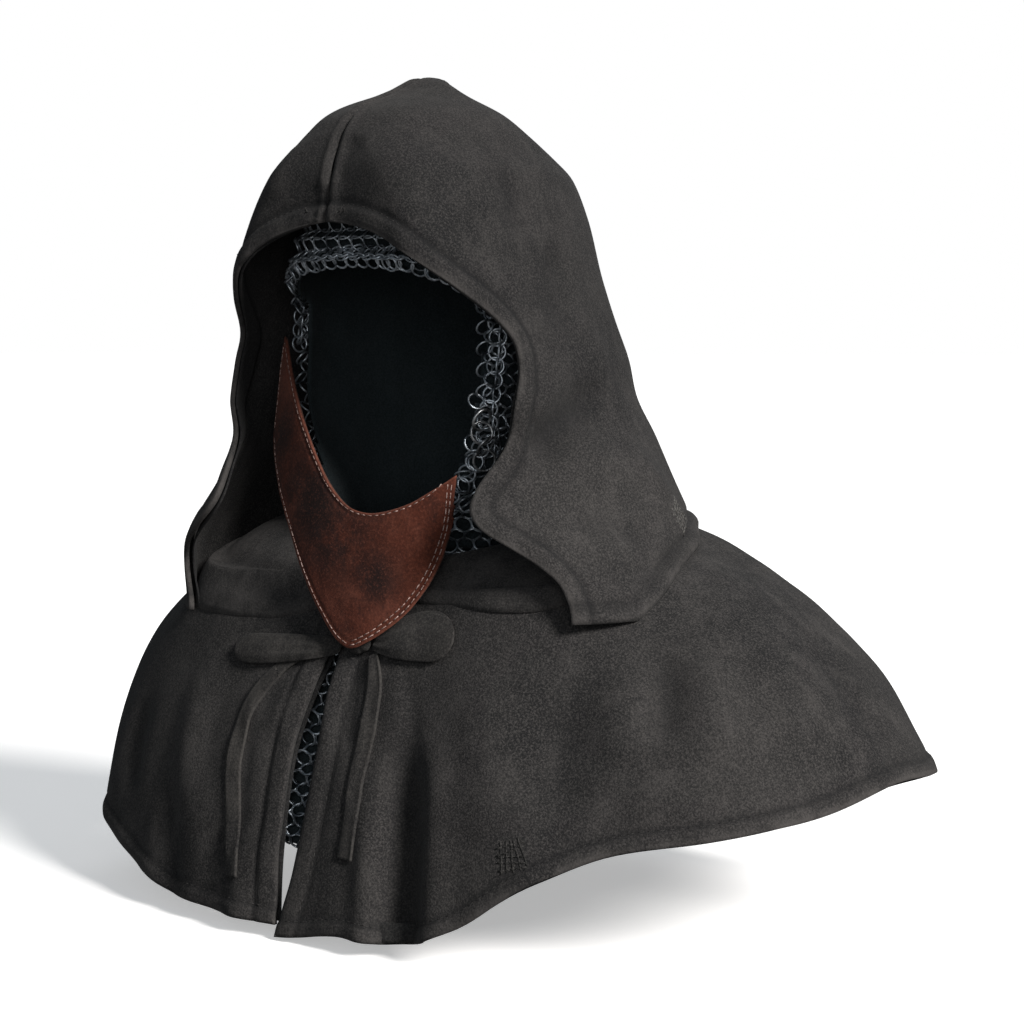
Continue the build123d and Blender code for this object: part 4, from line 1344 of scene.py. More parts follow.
class RingWeave:
    """Places linked wire rings, row by row, over a surface."""

    def __init__(self, radius: float, wire: float, around: int, section: int) -> None:
        """Makes the ring that is repeated.

        Args:
            radius: mean radius of the ring in mm.
            wire: radius of its wire in mm.
            around: divisions round the ring.
            section: divisions round the wire.
        """
        bm = bmesh.new()
        made = bmesh.ops.create_circle(bm, segments=section, radius=wire * MM)["verts"]
        bmesh.ops.rotate(bm, verts=made, cent=(0, 0, 0), matrix=Matrix.Rotation(math.pi / 2, 3, "X"))
        bmesh.ops.translate(bm, verts=made, vec=(radius * MM, 0, 0))
        bmesh.ops.spin(
            bm, geom=bm.verts[:] + bm.edges[:], cent=(0, 0, 0), axis=(0, 0, 1), angle=math.tau,
            steps=around, use_merge=True,
        )
        bmesh.ops.remove_doubles(bm, verts=bm.verts, dist=0.00002)
        bmesh.ops.recalc_face_normals(bm, faces=bm.faces)
        self.ring = bpy.data.meshes.new("ring")
        bm.to_mesh(self.ring)
        bm.free()

    def add(self, bm: BMesh, centre: Vector, along: Vector, normal: Vector, tilt: float) -> None:
        """Adds one ring.

        Args:
            bm: where it goes.
            centre: its middle in metres.
            along: the direction of its row.
            normal: the surface's outward direction.
            tilt: how far it leans about its row, in degrees.
        """
        along = along.normalized()
        up = normal.cross(along).normalized()
        turn = Matrix((along, up, along.cross(up))).transposed().to_4x4()
        place = Matrix.Translation(centre) @ turn @ Matrix.Rotation(math.radians(tilt), 4, "X")
        self.ring.transform(place)
        bm.from_mesh(self.ring)
        self.ring.transform(place.inverted())

    def row(
        self, bm: BMesh, line: Sequence[Vector], normals: Sequence[Vector], pitch: float,
        shift: float, tilt: float, keep: Callable[[Vector], bool] = lambda point: True,
    ) -> int:
        """Spaces rings along a line.

        Args:
            bm: where they go.
            line: points in metres along the row.
            normals: the surface's direction at each point.
            pitch: spacing in mm.
            shift: the first ring's place as a share of the spacing.
            tilt: how far they lean, in degrees.
            keep: says whether a ring at a point is made.

        Returns:
            How many rings were made.
        """
        route = Route(line)
        count = max(int(round(route.lengths[-1] / (pitch * MM))), 1)
        step = route.lengths[-1] / count
        made = 0
        for index in range(count):
            centre, along, segment = route.at((index + shift) * step)
            if keep(centre):
                wobble = 9 * noise.noise(centre * 400)
                self.add(bm, centre, along, normals[segment], tilt + wobble)
                made += 1
        return made


@dataclass
class MailSet:
    """The mail over the head and shoulders, ring by ring, with its bound face edge."""

    wardrobe: Wardrobe
    cape: dict = field(default_factory=dict)
    layer: float = 5.4
    ring: float = 5.15
    pitch: float = 10.2
    edge_pitch: float = 8.6
    spacing: float = 6.2
    tilt: float = 38.0
    slit: float = 0.021
    neck_height: float = -246.0
    below_cape: float = 9.5
    # how far the dark sheet of painted shade is moved in and down from the rings, in mm
    backing_drop: float = 4.6
    fasteners: tuple[tuple[float, float, float, float], ...] = (
        (71.0, -166.0, 20, 14), (69.5, -173.5, -24, -20), (68.5, -181.5, 30, 8), (66.0, -190.0, -18, 30),
    )
    opening: dict = field(
        default_factory=lambda: {
            Side.LEFT: (
                (0.0, -73.0), (36.0, -75.4), (58.0, -83.0), (69.0, -93.0), (73.5, -104.0), (74.5, -113.2),
                (74.0, -150.0), (71.0, -170.0), (64.0, -188.0), (54.0, -206.0), (38.0, -222.0),
                (20.0, -231.0), (0.0, -234.0),
            ),
            Side.RIGHT: (
                (0.0, -73.0), (36.0, -75.4), (62.4, -85.1), (75.2, -95.5), (79.0, -104.0), (80.0, -113.2),
                (80.0, -164.8), (77.0, -186.0), (67.2, -205.0), (42.0, -224.0), (20.0, -232.0),
                (0.0, -234.0),
            ),
        }
    )

    def in_opening(self, point: Vector, margin: float) -> bool:
        """Whether a point in metres lies in the face opening."""
        if point.y > -0.046:
            return False
        opening = self.opening[Side.LEFT if point.x > 0 else Side.RIGHT]
        x, z = abs(point.x) / MM, point.z / MM
        heights = [corner[1] for corner in opening]
        if not heights[-1] - margin < z < heights[0] + margin:
            return False
        for (x0, z0), (x1, z1) in zip(opening, opening[1:]):
            if z1 <= z <= z0 and z0 > z1:
                return x < x0 + (x1 - x0) * (z0 - z) / (z0 - z1) + margin
        return x < margin + opening[1][0]

    def surface(self, height: float, around: float) -> Vector:
        """A point of the mail's middle over the head, in metres."""
        return HEAD.point(height, around, self.layer) * MM

    def normal(self, height: float, around: float) -> Vector:
        """The outward direction of the mail over the head."""
        beside = self.surface(height, min(around + 0.01, 1))
        across = beside - self.surface(height, max(around - 0.01, -1))
        down = self.surface(height - 1.5, around) - self.surface(height + 1.5, around)
        facing = across.cross(down)
        if facing.length < 1e-12:
            return Vector((0, 0, 1))
        facing.normalize()
        here = self.surface(height, around)
        return facing if facing.dot(Vector((here.x, here.y, 0.02))) > 0 else -facing

    def head_rows(self) -> list[float]:
        """Heights of the rows, evenly spaced over the surface from the neck to the crown."""
        heights, height, step = [], -243.0, 0.25
        while height < 2.0:
            heights.append(height)
            travelled = 0.0
            while travelled < self.spacing and height < 3.0:
                here = HEAD.point(height, 0.55, self.layer)
                above = HEAD.point(height + step, 0.55, self.layer)
                travelled += (above - here).length
                height += step
        return heights

    def head(self) -> None:
        """Weaves the mail over the head, except in the face opening."""
        weave = RingWeave(self.ring, wire=0.72, around=14, section=4)
        bm = bmesh.new()
        total = 0
        shares = [-1 + 2 * step / 140 for step in range(141)]
        for row, height in enumerate(self.head_rows()):
            line = [self.surface(height, share) for share in shares]
            normals = [self.normal(height, share) for share in shares]
            total += weave.row(
                bm, line, normals, self.pitch, 0.5 * (row % 2), self.tilt if row % 2 else -self.tilt,
                lambda point: not self.in_opening(point, 2.5),
            )
        piece("mail_over_head", bm, self.wardrobe.mail, replaces=["mail_head"])
        log.info("mail over the head: %d rings", total)

    def face_edge(self) -> None:
        """Binds the face opening with two rows of rings."""
        weave = RingWeave(self.ring, wire=0.78, around=16, section=5)
        bm = bmesh.new()
        left = self.opening[Side.LEFT]
        right = [(-x, z) for x, z in reversed(self.opening[Side.RIGHT][1:-1])]
        outline = [*left, *right, left[0]]
        dense = []
        for (x0, z0), (x1, z1) in zip(outline, outline[1:]):
            steps = max(int(math.hypot(x1 - x0, z1 - z0) / 3), 1)
            dense += [(x0 + (x1 - x0) * i / steps, z0 + (z1 - z0) * i / steps) for i in range(steps)]
        dense.append(dense[0])
        centre = Vector((0, -153.5))
        for row, (grow, tilt) in enumerate(((1.5, self.tilt), (7.0, -self.tilt))):
            line, normals = [], []
            for spot in dense:
                away = (Vector(spot) - centre).normalized()
                x, z = spot[0] + away.x * grow, spot[1] + away.y * grow
                widest = HEAD.table(z)[0] + self.layer - 9.0
                share = HEAD.around_at(z, min(abs(x), widest)) * (1 if x >= 0 else -1)
                normal = self.normal(z, share)
                line.append(self.surface(z, share) + normal * 0.2 * MM)
                normals.append(normal)
            weave.row(bm, line, normals, self.edge_pitch, 0.5 * row, tilt, self.beside_flap)
        piece("mail_face_edge", bm, self.wardrobe.mail, replaces=["mail_edge_rings"])

    @staticmethod
    def beside_flap(point: Vector) -> bool:
        """Whether an edge ring at a point in metres is clear of where the flap is sewn on."""
        return point.x > 0 or not -0.222 < point.z < -0.122

    def shoulders(self) -> None:
        """Weaves the mail over the shoulders, from the neck to its own hem under the cape."""
        coarse = RingWeave(self.ring, wire=0.72, around=11, section=3)
        fine = RingWeave(self.ring, wire=0.76, around=16, section=5)
        hems = Table([(0, 421), (20, 414), (40, 393), (75, 350), (110, 348), (150, 369), (180, 376)])
        for side in Side:
            bm = bmesh.new()
            total = 0
            for row in range(48):
                line, normals = self.shoulder_row(side, row * self.spacing, hems)
                if len(line) < 4:
                    continue
                shift, tilt = 0.5 * (row % 2), self.tilt if row % 2 else -self.tilt
                total += coarse.row(
                    bm, line, normals, self.pitch, shift, tilt,
                    lambda point: not self.in_slit(point) and self.hidden(point, side),
                )
                total += fine.row(bm, line, normals, self.pitch, shift, tilt, self.in_slit)
            piece(
                f"mail_shoulder_{side.word}", bm, self.wardrobe.mail,
                replaces=[f"mail_mantle_{side.word}"],
            )
            log.info("mail over the %s shoulder: %d rings", side.word, total)
            # the dark sheet of painted shade between the rings
            self.padding(side, hems)

    def shoulder_row(self, side: Side, travelled: float, hems: Table) -> tuple[list[Vector], list[Vector]]:
        """One row of the shoulder mail.

        Args:
            side: which half.
            travelled: how far down from the neck it lies, in mm.
            hems: the mail's hem, as depth in mm by angle.

        Returns:
            Points along the row in metres and the surface's direction at each.
        """
        line, normals = [], []
        for index in range(100):
            angle = (-1.5 + 181.5 * index / 99) * side.value
            point = self.under_cape(angle, travelled, hems)
            beside = self.under_cape(angle + 2 * side.value, travelled, hems)
            below = self.under_cape(angle, travelled + 2, hems)
            if point is None or beside is None or below is None:
                continue
            facing = (beside - point).cross(below - point)
            if facing.length < 1e-12:
                continue
            facing.normalize()
            if facing.z < -0.2 or facing.dot(Vector((point.x, point.y - CAPE.axis_back * MM, 0.05))) < 0:
                facing.negate()
            for _ in range(2):
                point = self.clear_of(point, self.cape[side])
            line.append(point)
            normals.append(facing)
        return line, normals

    def padding(self, side: Side, hems: Table) -> None:
        """Lays a dark sheet a little inside the rings: painted shade that shows between them."""

        def place(u: float, v: float) -> Vector:
            angle = (-4 + 184 * u) * side.value
            low, high = 60.0, 400.0
            for _ in range(14):
                middle = (low + high) / 2
                if self.under_cape(angle, middle, hems) is None:
                    high = middle
                else:
                    low = middle
            point = self.under_cape(angle, 6 + (low - 8) * (1 - v), hems)
            inward = Vector((point.x, point.y - CAPE.axis_back * MM, 0)).normalized()
            lower = (inward * 0.8 + Vector((0, 0, 0.6))) * self.backing_drop * MM
            return (self.clear_of(point, self.cape[side]) - lower) / MM

        bm = grid(90, 60, place)
        face_outwards(bm, CAPE_AXIS)
        area = mesh_area(bm)
        # painted shade: a dark sheet in the lining's finish behind the ring gaps
        backing = piece(f"mail_backing_{side.word}", bm, self.wardrobe.lining, thickness=1.0)
        f"mail_shoulder_{side.word}"

    def in_slit(self, point: Vector) -> bool:
        """Whether a ring at a point in metres shows in the cape's front slit."""
        return abs(point.x) <= self.slit and point.y < 0

    def hidden(self, point: Vector, side: Side) -> bool:
        """Whether a ring at a point in metres stays under the cape's cloth."""
        nearest, normal, _, _ = self.cape[side].find_nearest(point, 0.03)
        return nearest is None or (nearest - point).dot(normal) > 7.0 * MM

    def clear_of(self, point: Vector, cloth: BVHTree, depth: float = 9.0) -> Vector:
        """The point moved inwards where the cloth's folds come too near, in metres."""
        nearest, normal, _, distance = cloth.find_nearest(point, 0.03)
        if nearest is None:
            return point
        below = (nearest - point).dot(normal) / MM
        return point - normal * max(depth - below, 0) * MM if distance < 0.02 else point

    def under_cape(self, angle: float, travelled: float, hems: Table) -> Optional[Vector]:
        """A point of the shoulder mail, in metres.

        Args:
            angle: signed degrees from the centre front.
            travelled: how far down from the neck it lies, in mm.
            hems: the mail's hem, as depth in mm by angle.

        Returns:
            The point, or nothing past the hem.
        """
        line = CAPE.line(angle)
        turn = math.radians(angle)
        _, width, _, front, back, _ = HEAD.rows[-1]
        reach = 30.0
        for _ in range(24):
            x, y = reach * math.sin(turn), CAPE.axis_back - reach * math.cos(turn)
            depth = (-front if y < 0 else back) + self.layer
            level = math.hypot(x / (width + self.layer), y / depth)
            reach *= 1 + (1 / max(level, 0.05) - 1) * 0.6
        neck = (reach, self.neck_height)
        x, y, radius = CAPE.circle(line)
        share = 1 - self.below_cape / radius
        start = (x + (line[0][0] - x) * share, y + (line[0][1] - y) * share)
        first = math.hypot(start[0] - neck[0], start[1] - neck[1])
        if travelled < first:
            t = travelled / first
            height = neck[1] + (start[1] - neck[1]) * t - 4.5 * math.sin(math.pi * t)
            return CAPE.polar(angle, neck[0] + (start[0] - neck[0]) * t, height) * MM
        turn_start = math.atan2(start[1] - y, start[0] - x)
        arc = turn_start - (travelled - first) / (radius * share)
        point = (x + radius * share * math.cos(arc), y + radius * share * math.sin(arc))
        if -point[1] > hems(abs(angle))[0]:
            return None
        return CAPE.polar(angle, *point) * MM

    def fastening(self) -> None:
        """Hangs the larger rings by the flap's left corner."""
        weave = RingWeave(radius=6.6, wire=0.95, around=20, section=6)
        bm = bmesh.new()
        for x, z, lean, roll in self.fasteners:
            share = HEAD.around_at(z, x)
            normal = self.normal(z, share)
            along = Matrix.Rotation(math.radians(roll), 3, normal) @ normal.orthogonal()
            weave.add(bm, self.surface(z, share) + normal * 3.2 * MM, along, normal, lean)
        piece(
            "fastening_ring_cluster", bm, self.wardrobe.large_rings,
            replaces=["fastening_rings"],
        )

    def make(self) -> None:
        """Builds all the mail."""
        self.head()
        self.face_edge()
        self.shoulders()
        self.fastening()


@dataclass
class LiningCap:
    """The quilted lining inside the mail."""

    wardrobe: Wardrobe
    columns: int = 150
    rows: int = 110

    def place(self, across: float, down: float) -> Vector:
        """A point of the lining, round the head and from the crown to the neck."""
        around = -1 + 2 * across
        height = 1.2 - 245.2 * down**1.25
        point = HEAD.point(height - 1.2, around, 0.6)
        quilt = abs(math.sin(around * 16 * math.pi / 2))
        point += Vector((point.x, point.y, 0)).normalized() * (1.1 * quilt**0.6)
        point.x *= smooth_step(-0.002, 0.02, down)
        point.y *= smooth_step(-0.002, 0.02, down)
        return point

    def make(self) -> None:
        """Builds the lining with its face opening."""
        bm = grid(self.columns, self.rows, lambda u, v: self.place(u, 1 - v))
        mail = MailSet(self.wardrobe)
        cut = [face for face in bm.faces if mail.in_opening(face.calc_center_median(), 0.5)]
        bmesh.ops.delete(bm, geom=cut, context="FACES")
        face_outwards(bm)
        area = mesh_area(bm)
        thing = piece(
            "quilted_lining", bm, self.wardrobe.lining, replaces=["lining_cap"], thickness=1.6
        )


@dataclass
class ChinFlap:
    """The leather flap across the chin, with its backing and its stitched edges."""

    wardrobe: Wardrobe
    columns: int = 130
    rows: int = 70
    radius: float = 176.0
    lean: float = 10.1
    tip_front: float = 113.5
    tip_height: float = -302.0
    smudges: tuple[tuple[float, float, float], ...] = (
        (-0.034, -0.212, 0.030), (-0.072, -0.175, 0.018), (-0.002, -0.240, 0.024), (0.030, -0.262, 0.016),
    )
    upper: Table = Table(
        [(-88.5, -116.5), (-83.0, -121.0), (-76.0, -131.5), (-66.0, -146.0), (-52.8, -163.5),
         (-38.0, -181.5), (-22.0, -199.5), (-8.8, -211.5), (4.0, -219.5), (17.6, -222.5),
         (31.0, -221.0), (45.8, -216.0), (60.0, -207.5), (71.8, -199.0)]
    )
    lower: Table = Table(
        [(-88.5, -178.0), (-84.0, -188.0), (-70.0, -209.5), (-49.3, -237.0), (-32.0, -258.5),
         (-15.0, -279.0), (2.0, -295.5), (12.0, -301.5), (18.0, -302.5), (24.0, -300.5),
         (36.0, -293.5), (50.0, -281.5), (59.0, -269.5), (65.5, -256.5), (69.5, -243.0), (71.8, -226.0)]
    )

    def place(self, across: float, up: float, out: float = 0.0) -> Vector:
        """A point of the flap's outer face in mm.

        Args:
            across: 0 at the wearer's right jaw, 1 at the left corner.
            up: 0 at the lower edge, 1 at the lip.
            out: how far it is moved out.

        Returns:
            The point in mm.
        """
        x = -88.2 + 160.0 * across
        low, high = self.lower(x)[0], self.upper(x)[0]
        height = low + (high - low) * up
        y = -self.tip_front + self.radius - math.sqrt(self.radius**2 - x**2)
        y += math.tan(math.radians(self.lean)) * (height - self.tip_height) - out
        return Vector((x, y, height))

    def make(self) -> None:
        """Builds the leather, its backing and its stitches."""
        bm = grid(self.columns, self.rows, self.place)
        face_outwards(bm, Vector((0, 0.03, 0)))
        wear = bm.verts.layers.float.new("wear")
        smudge = bm.verts.layers.float.new("smudge")
        edge = distance_tree(self.place(i / 200, up) * MM for up in (0.0, 1.0) for i in range(201))
        for vert in bm.verts:
            distance = edge.find(vert.co)[2] / MM
            spot = vert.co * 24
            move = 1.1 * noise.noise(spot) + 0.35 * noise.noise(spot * 4)
            move -= 0.5 * bell(distance, 3.4, 1.4) + 0.6 * fall(0, 2.2, distance)
            vert.co += vert.normal * move * MM
            # painted highlight: the flap's top strip is made paler through the wear layer
            upper = smooth_step(-0.185, -0.145, vert.co.z) * 0.55
            vert[wear] = max(fall(0.2, 1.6, distance), upper)
            x, _, z = vert.co
            dark = sum(bell(math.hypot(x - px, z - pz), 0.0, wide) for px, pz, wide in self.smudges)
            vert[smudge] = min(dark, 1.0)
        bm.normal_update()
        tree = BVHTree.FromBMesh(bm)
        piece(
            "chin_leather", bm, self.wardrobe.leather,
            body="flap", replaces=["chin_flap"], thickness=1.5,
        )
        back = grid(60, 36, lambda u, v: self.place(0.006 + 0.988 * u, 0.012 + 0.976 * v, -1.9))
        face_outwards(back, Vector((0, 0.03, 0)))
        piece(
            "chin_leather_backing", back, self.wardrobe.leather_backing, body="flap",
            replaces=["chin_flap_backing"], thickness=0.9,
        )
        self.sew(tree)

    def sew(self, tree: BVHTree) -> None:
        """Sews one row up the right edge and lip, and two up the left edge."""
        bm = bmesh.new()
        stitches = Stitching(radius=0.34, length=3.6, pitch=4.8)
        fine = Stitching(radius=0.28, length=3.0, pitch=4.6)
        lower = self.border(0.0, 0.66, top=False)
        stitches.run(bm, self.inset(lower, 2.4, tree), tree, 0.3)
        corner = [self.place(1.0, 0.9 - 0.9 * i / 20) * MM for i in range(20)]
        left = corner + self.border(1.0, 0.66, top=False)
        for inset in (2.2, 4.6):
            stitches.run(bm, self.inset(left, inset, tree), tree, 0.3)
        right = [self.place(0.0, i / 40) * MM for i in range(41)]
        stitches.run(bm, [point + Vector((2.4 * MM, 0, 0)) for point in right[2:-4]], tree, 0.3)
        fine.run(bm, self.inset(self.border(0.01, 0.97, top=True), 1.8, tree), tree, 0.2)
        piece("chin_stitches", bm, self.wardrobe.pale_thread, body="flap")

    def border(self, first: float, last: float, top: bool) -> list[Vector]:
        """Points along the lip or the lower edge, in metres."""
        steps = 160
        height = 1.0 if top else 0.0
        return [self.place(first + (last - first) * i / steps, height) * MM for i in range(steps + 1)]

    def inset(self, line: Sequence[Vector], distance: float, tree: BVHTree) -> list[Vector]:
        """Moves an edge line into the leather."""
        middle = self.place(0.55, 0.55) * MM
        moved = []
        for before, here, after in zip(line, line[2:], line[4:]):
            normal = tree.find_nearest(here)[1]
            inward = normal.cross(after - before).normalized()
            if inward.dot(middle - here) < 0:
                inward.negate()
            moved.append(here + inward * distance * MM)
        for _ in range(30):
            inner = [(a + b + c) / 3 for a, b, c in zip(moved, moved[1:], moved[2:])]
            moved = [moved[0], *inner, moved[-1]]
        return moved


@dataclass
class ThroatTie:
    """The soft tie at the throat: a knot, two loops and two hanging tails."""

    wardrobe: Wardrobe
    cape: dict
    width: float = 11.0
    hinges: dict = field(default_factory=lambda: {Side.LEFT: -306.8, Side.RIGHT: -321.0})
    tails: dict = field(
        default_factory=lambda: {
            Side.LEFT: Table(
                [(-421, 42.9), (-398, 41.8), (-376, 39.5), (-346, 38.4), (-322, 33.9), (-303, 25.5)]
            ),
            Side.RIGHT: Table(
                [(-442, -45.1), (-411, -52.5), (-381, -59.8), (-357, -61.0), (-338, -56.1), (-318, -40.0),
                 (-306, -20.0)]
            ),
        }
    )
    loops: dict = field(
        default_factory=lambda: {
            Side.LEFT: Table(
                [(0.0, 26.0, -299.5, 5.0), (0.14, 32.0, -299.0, 7.0), (0.35, 44.0, -296.0, 12.0),
                 (0.6, 62.0, -294.0, 14.5), (0.82, 77.0, -294.5, 12.5), (0.95, 85.5, -295.0, 6.0),
                 (1.0, 87.0, -295.0, 0.6)]
            ),
            Side.RIGHT: Table(
                [(0.0, 3.5, -303.5, 4.5), (0.15, -8.0, -305.0, 6.0), (0.4, -32.0, -307.5, 8.0),
                 (0.65, -56.0, -309.5, 9.0), (0.85, -74.0, -310.5, 8.5), (0.96, -82.5, -311.0, 5.0),
                 (1.0, -84.5, -311.0, 0.6)]
            ),
        }
    )

    def on_cape(self, x: float, height: float, out: float) -> Vector:
        """A point of the dressed cape's front at a half width and height, lifted off it, in mm."""
        guess = CAPE.front(x, height, 0.0) * MM
        start = Vector((guess.x, -0.4, guess.z))
        tree = self.cape[Side.LEFT] if x > -6 else self.cape[Side.RIGHT]
        hit = tree.ray_cast(start, Vector((0, 1, 0)))[0]
        if hit is None or abs(hit.y - guess.y) > 0.012:
            hit = guess
        return Vector((hit.x, min(hit.y, guess.y + 0.002), hit.z)) / MM + Vector((0, -out, out * 0.3))

    def tail(self, side: Side) -> None:
        """Makes one tail, and on the right the piece of strip that holds it to the knot."""
        table = self.tails[side]
        self.strip(side, table.keys[0], self.hinges[side], f"tie_strip_{side.word}", True)
        if side is Side.RIGHT:
            self.strip(side, self.hinges[side] - 1.0, table.keys[-1], f"tie_lead_{side.word}", False)

    def strip(self, side: Side, low: float, high: float, name: str, moves: bool) -> None:
        """Makes a flat strip that lies on the cape, a little wavy.

        Args:
            side: whose tail it is.
            low: height of its lower end in mm.
            high: height of its upper end in mm.
            name: the piece's name.
            moves: whether it is the tail that lifts.
        """
        table = self.tails[side]

        def place(u: float, v: float) -> Vector:
            height = low + (high - low) * v
            centre = table(height)[0]
            lean = (table(height + 4)[0] - table(height - 4)[0]) / 8
            width = self.width * (0.62 + 0.38 * smooth_step(0.0, 30.0, table.keys[-1] - height))
            aside = (u - 0.5) * width / math.hypot(1, lean)
            out = 1.8 + 1.4 * noise.noise(Vector((u * 1.4, height / 24, side.value * 4.0)))
            return self.on_cape(centre + aside, height - lean * aside, out)

        bm = grid(8, max(int((high - low) / 1.3), 6), place)
        face_outwards(bm, Vector((0, 0.1, 0)))
        wear = bm.verts.layers.float.new("wear")
        layer = bm.loops.layers.uv["UVMap"]
        for face in bm.faces:
            for loop in face.loops:
                loop.vert[wear] = 0.1 + 0.3 * smooth_step(0.36, 0.5, abs(loop[layer].uv.x - 0.5))
        area = mesh_area(bm)
        thing = piece(
            name, bm, self.wardrobe.tie_cloth, body=f"tail_{side.word}" if moves else "coif",
            replaces=[f"tie_tail_{side.word}"] if moves else (), thickness=1.4,
        )
        middle = [place(0.5, i / 24) * MM for i in range(25)]
        f"cape_cloth_{side.word}"

    def loop(self, side: Side) -> None:
        """Makes one loop: a flattened, rounded fold of cloth that narrows into the knot."""
        def place(u: float, v: float) -> Vector:
            turn = math.tau * v
            x, height, half = self.loops[side](u)
            swell = 2.4 * math.sin(math.pi * min(u * 1.05, 1)) + 0.8
            pleat = 0.5 * math.sin(3 * math.pi * math.cos(turn)) * (1 - u)
            out = 2.8 + swell * math.sin(turn) + pleat
            return self.on_cape(x, height + half * math.cos(turn), max(out, 0.4))

        bm = grid(26, 36, place)
        bmesh.ops.remove_doubles(bm, verts=bm.verts, dist=0.0002)
        bmesh.ops.holes_fill(bm, edges=bm.edges, sides=0)
        bmesh.ops.recalc_face_normals(bm, faces=bm.faces)
        wear = bm.verts.layers.float.new("wear")
        for vert in bm.verts:
            vert[wear] = 0.12
        bm.normal_update()
        piece(
            f"tie_bow_{side.word}", bm, self.wardrobe.tie_cloth, body=f"loop_{side.word}",
            replaces=[f"tie_loop_{side.word}"], smooth=1,
        )

    def knot(self) -> None:
        """Makes the knot, a small lump with a wrapped turn."""
        bm = bmesh.new()
        bmesh.ops.create_uvsphere(bm, u_segments=40, v_segments=24, radius=1.0)
        low, high = map(Vector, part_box("tie_knot"))
        centre, half = (low + high) / 2, (high - low) / 2
        for vert in bm.verts:
            shape = vert.co.copy()
            wrap = 0.10 * bell(shape.x, 0.0, 0.35) - 0.08 * bell(abs(shape.x), 0.5, 0.12)
            shape *= 1 + wrap + 0.05 * noise.noise(shape * 3.0)
            vert.co = centre + Vector((shape.x * half.x, shape.y * half.y * 0.9, shape.z * half.z))
        wear = bm.verts.layers.float.new("wear")
        for vert in bm.verts:
            vert[wear] = 0.4
        piece("tie_knot_cloth", bm, self.wardrobe.tie_cloth, replaces=["tie_knot"])

    def make(self) -> None:
        """Builds the tie."""
        for side in Side:
            self.tail(side)
            self.loop(side)
        self.knot()


@dataclass
class Darning:
    """Two mended places, with threads drawn across the cloth."""

    wardrobe: Wardrobe
    threads: int = 5
    hood_middle: tuple[float, float] = (680, 515)
    cape_middle: tuple[float, float] = (512, 857)

    def patch(
        self, cloth: str, middle: tuple[float, float], name: str, thread: Material, replaces: str,
        size: float, slant: float,
    ) -> None:
        """Sews one darn where a pixel meets the cloth.

        Args:
            cloth: the name of the cloth that it is on.
            middle: the darn's middle in the picture.
            name: the piece's name.
            thread: the material of its thread.
            replaces: the CAD node that it stands for.
            size: its width in mm.
            slant: how far it is turned, in degrees.
        """
        bm = bmesh.new()
        bm.from_mesh(bpy.data.objects[cloth].data)
        tree = BVHTree.FromBMesh(bm)
        bm.free()
        hit, normal, _, _ = tree.ray_cast(VIEW.place(), VIEW.ray(*middle))
        across = normal.cross(Vector((0, 0, 1))).normalized()
        across = Matrix.Rotation(math.radians(slant), 3, normal) @ across
        up = normal.cross(across)
        made = bmesh.new()
        stitches = Stitching(radius=0.55, length=4.2, pitch=3.4)
        for way in range(2):
            for index in range(self.threads):
                turn = Matrix.Rotation(0.75 * noise.noise(Vector((index * 3.1, way * 7.7, 2.0))), 3, normal)
                shift = (index / (self.threads - 1) - 0.5) * size * MM * 0.8
                wobble = 0.9 * MM * noise.noise(Vector((index * 1.7, way * 5.1, size)))
                first, second = (turn @ across, turn @ up) if way == 0 else (turn @ up, turn @ across)
                reach = size * (0.5 + 0.16 * noise.noise(Vector((index * 2.3, way, 1.0))))
                line = []
                for step in range(7):
                    t = step / 6 - 0.5
                    bend = wobble * math.sin(step * 1.3)
                    line.append(hit + first * 2 * t * reach * MM + second * (shift + bend))
                stitches.run(made, line, tree, 0.5)
        piece(name, made, thread, replaces=[replaces])

    def make(self) -> None:
        """Sews both darns."""
        self.patch(
            "hood_cloth_left", self.hood_middle, "darn_on_hood", self.wardrobe.thread, "darn_hood",
            size=20.0, slant=35.0,
        )
        self.patch(
            "cape_cloth_left", self.cape_middle, "darn_on_cape", self.wardrobe.dark_thread, "darn_mantle",
            size=17.0, slant=20.0,
        )


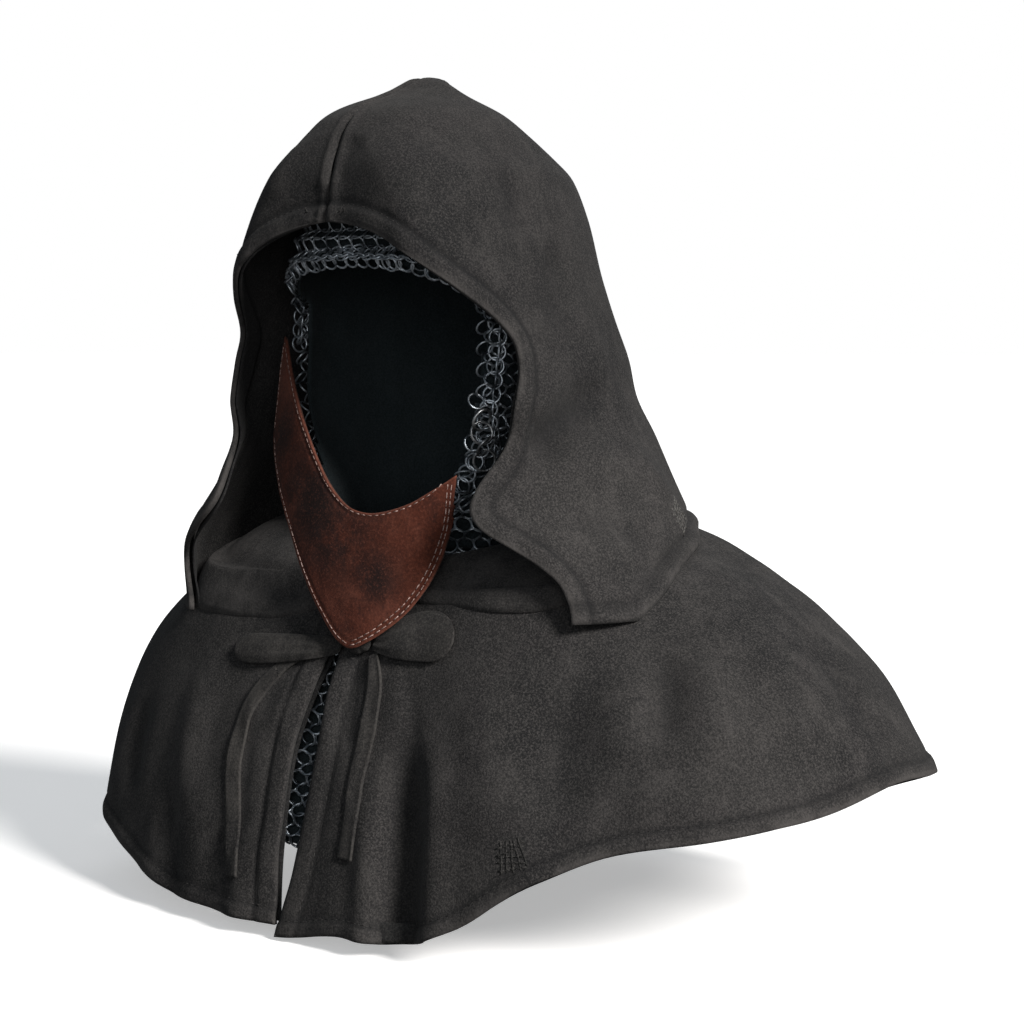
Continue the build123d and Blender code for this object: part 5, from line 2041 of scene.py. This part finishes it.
@dataclass
class Studio:
    """A pale floor and soft lights."""

    floor_height: float = -0.4745
    target: Point = (0, 0, -0.22)

    @staticmethod
    def lamp(name: str, kind: str, power: float, place: Vector, aim: Vector) -> bpy.types.Light:
        """Adds a lamp at a place that shines in a direction."""
        data = bpy.data.lights.new(name, kind)
        data.energy = power
        lamp = bpy.data.objects.new(name, data)
        bpy.context.collection.objects.link(lamp)
        lamp.matrix_world = Matrix.Translation(place) @ aim.to_track_quat("-Z", "Y").to_matrix().to_4x4()
        return data

    def soft_light(self, name: str, place: Point, size: float, power: float) -> None:
        """Adds one soft area light that points at the garment."""
        data = self.lamp(name, "AREA", power, Vector(place), Vector(self.target) - Vector(place))
        data.shape = "DISK"
        data.size = size

    def sun(self, towards: Point, strength: float) -> None:
        """Adds the broad key light, which comes from a direction."""
        data = self.lamp("key", "SUN", strength, Vector((0, 0, 0)), -Vector(towards))
        data.angle = math.radians(16)
        data.color = (1.0, 0.965, 0.93)

    @staticmethod
    def split(tree: bpy.types.NodeTree, lit, shown, output: str) -> None:
        """Lights the scene with one shader and shows another where the floor or sky itself is seen."""
        path = tree.nodes.new("ShaderNodeLightPath")
        choice = tree.nodes.new("ShaderNodeMixShader")
        tree.links.new(path.outputs["Is Camera Ray"], choice.inputs["Fac"])
        tree.links.new(lit, choice.inputs[1])
        tree.links.new(shown, choice.inputs[2])
        tree.links.new(choice.outputs["Shader"], tree.nodes[output].inputs["Surface"])

    def make(self) -> None:
        """Builds the floor, the lights and the plain surroundings."""
        bm = bmesh.new()
        bmesh.ops.create_grid(bm, x_segments=1, y_segments=1, size=60.0)
        bmesh.ops.translate(bm, verts=bm.verts, vec=(0, 0, self.floor_height))
        mesh = bpy.data.meshes.new("floor")
        bm.to_mesh(mesh)
        bm.free()
        floor = bpy.data.objects.new("floor", mesh)
        bpy.context.collection.objects.link(floor)
        paint = Paint("floor_paint")
        paint.set("Base Color", (0.92, 0.92, 0.92))
        paint.set("Roughness", 0.9)
        paint.set("Emission Color", (1.0, 1.0, 1.0))
        paint.set("Emission Strength", 0.42)
        dim = paint.tree.nodes.new("ShaderNodeBsdfDiffuse")
        dim.inputs["Color"].default_value = (0.16, 0.16, 0.16, 1.0)
        self.split(paint.tree, dim.outputs["BSDF"], paint.shader.outputs["BSDF"], "Material Output")
        mesh.materials.append(paint.material)
        self.sun((0.84, -0.15, 0.50), 5.1)
        self.soft_light("fill", (-1.5, -1.7, 0.9), 2.2, 0.8)
        self.soft_light("front", (1.3, -1.8, 0.2), 1.3, 9.0)
        self.soft_light("back", (-1.0, 2.0, 1.1), 1.6, 9.0)
        self.surroundings()
        bpy.context.scene.view_settings.view_transform = "Standard"

    def surroundings(self) -> None:
        """Makes plain white surroundings that light the garment only a little."""
        world = bpy.data.worlds.new("studio")
        world.use_nodes = True
        tree = world.node_tree
        shown = tree.nodes["Background"]
        shown.inputs["Color"].default_value = (1.0, 1.0, 1.0, 1.0)
        glow = tree.nodes.new("ShaderNodeBackground")
        glow.inputs["Color"].default_value = (0.70, 0.86, 1.0, 1.0)
        glow.inputs["Strength"].default_value = 0.13
        self.split(tree, glow.outputs["Background"], shown.outputs["Background"], "World Output")
        bpy.context.scene.world = world


def main() -> None:
    """Builds every sub-assembly in order."""
    logging.basicConfig(level=logging.INFO, format="%(message)s")
    VIEW.stand()
    Studio().make()
    wardrobe = Wardrobe()
    HoodSet(wardrobe).make()
    trees = CapeSet(wardrobe).make()
    CollarSet(wardrobe).make()
    MailSet(wardrobe, trees).make()
    LiningCap(wardrobe).make()
    ChinFlap(wardrobe).make()
    ThroatTie(wardrobe, trees).make()
    Darning(wardrobe).make()


if __name__ == "__main__":
    main()
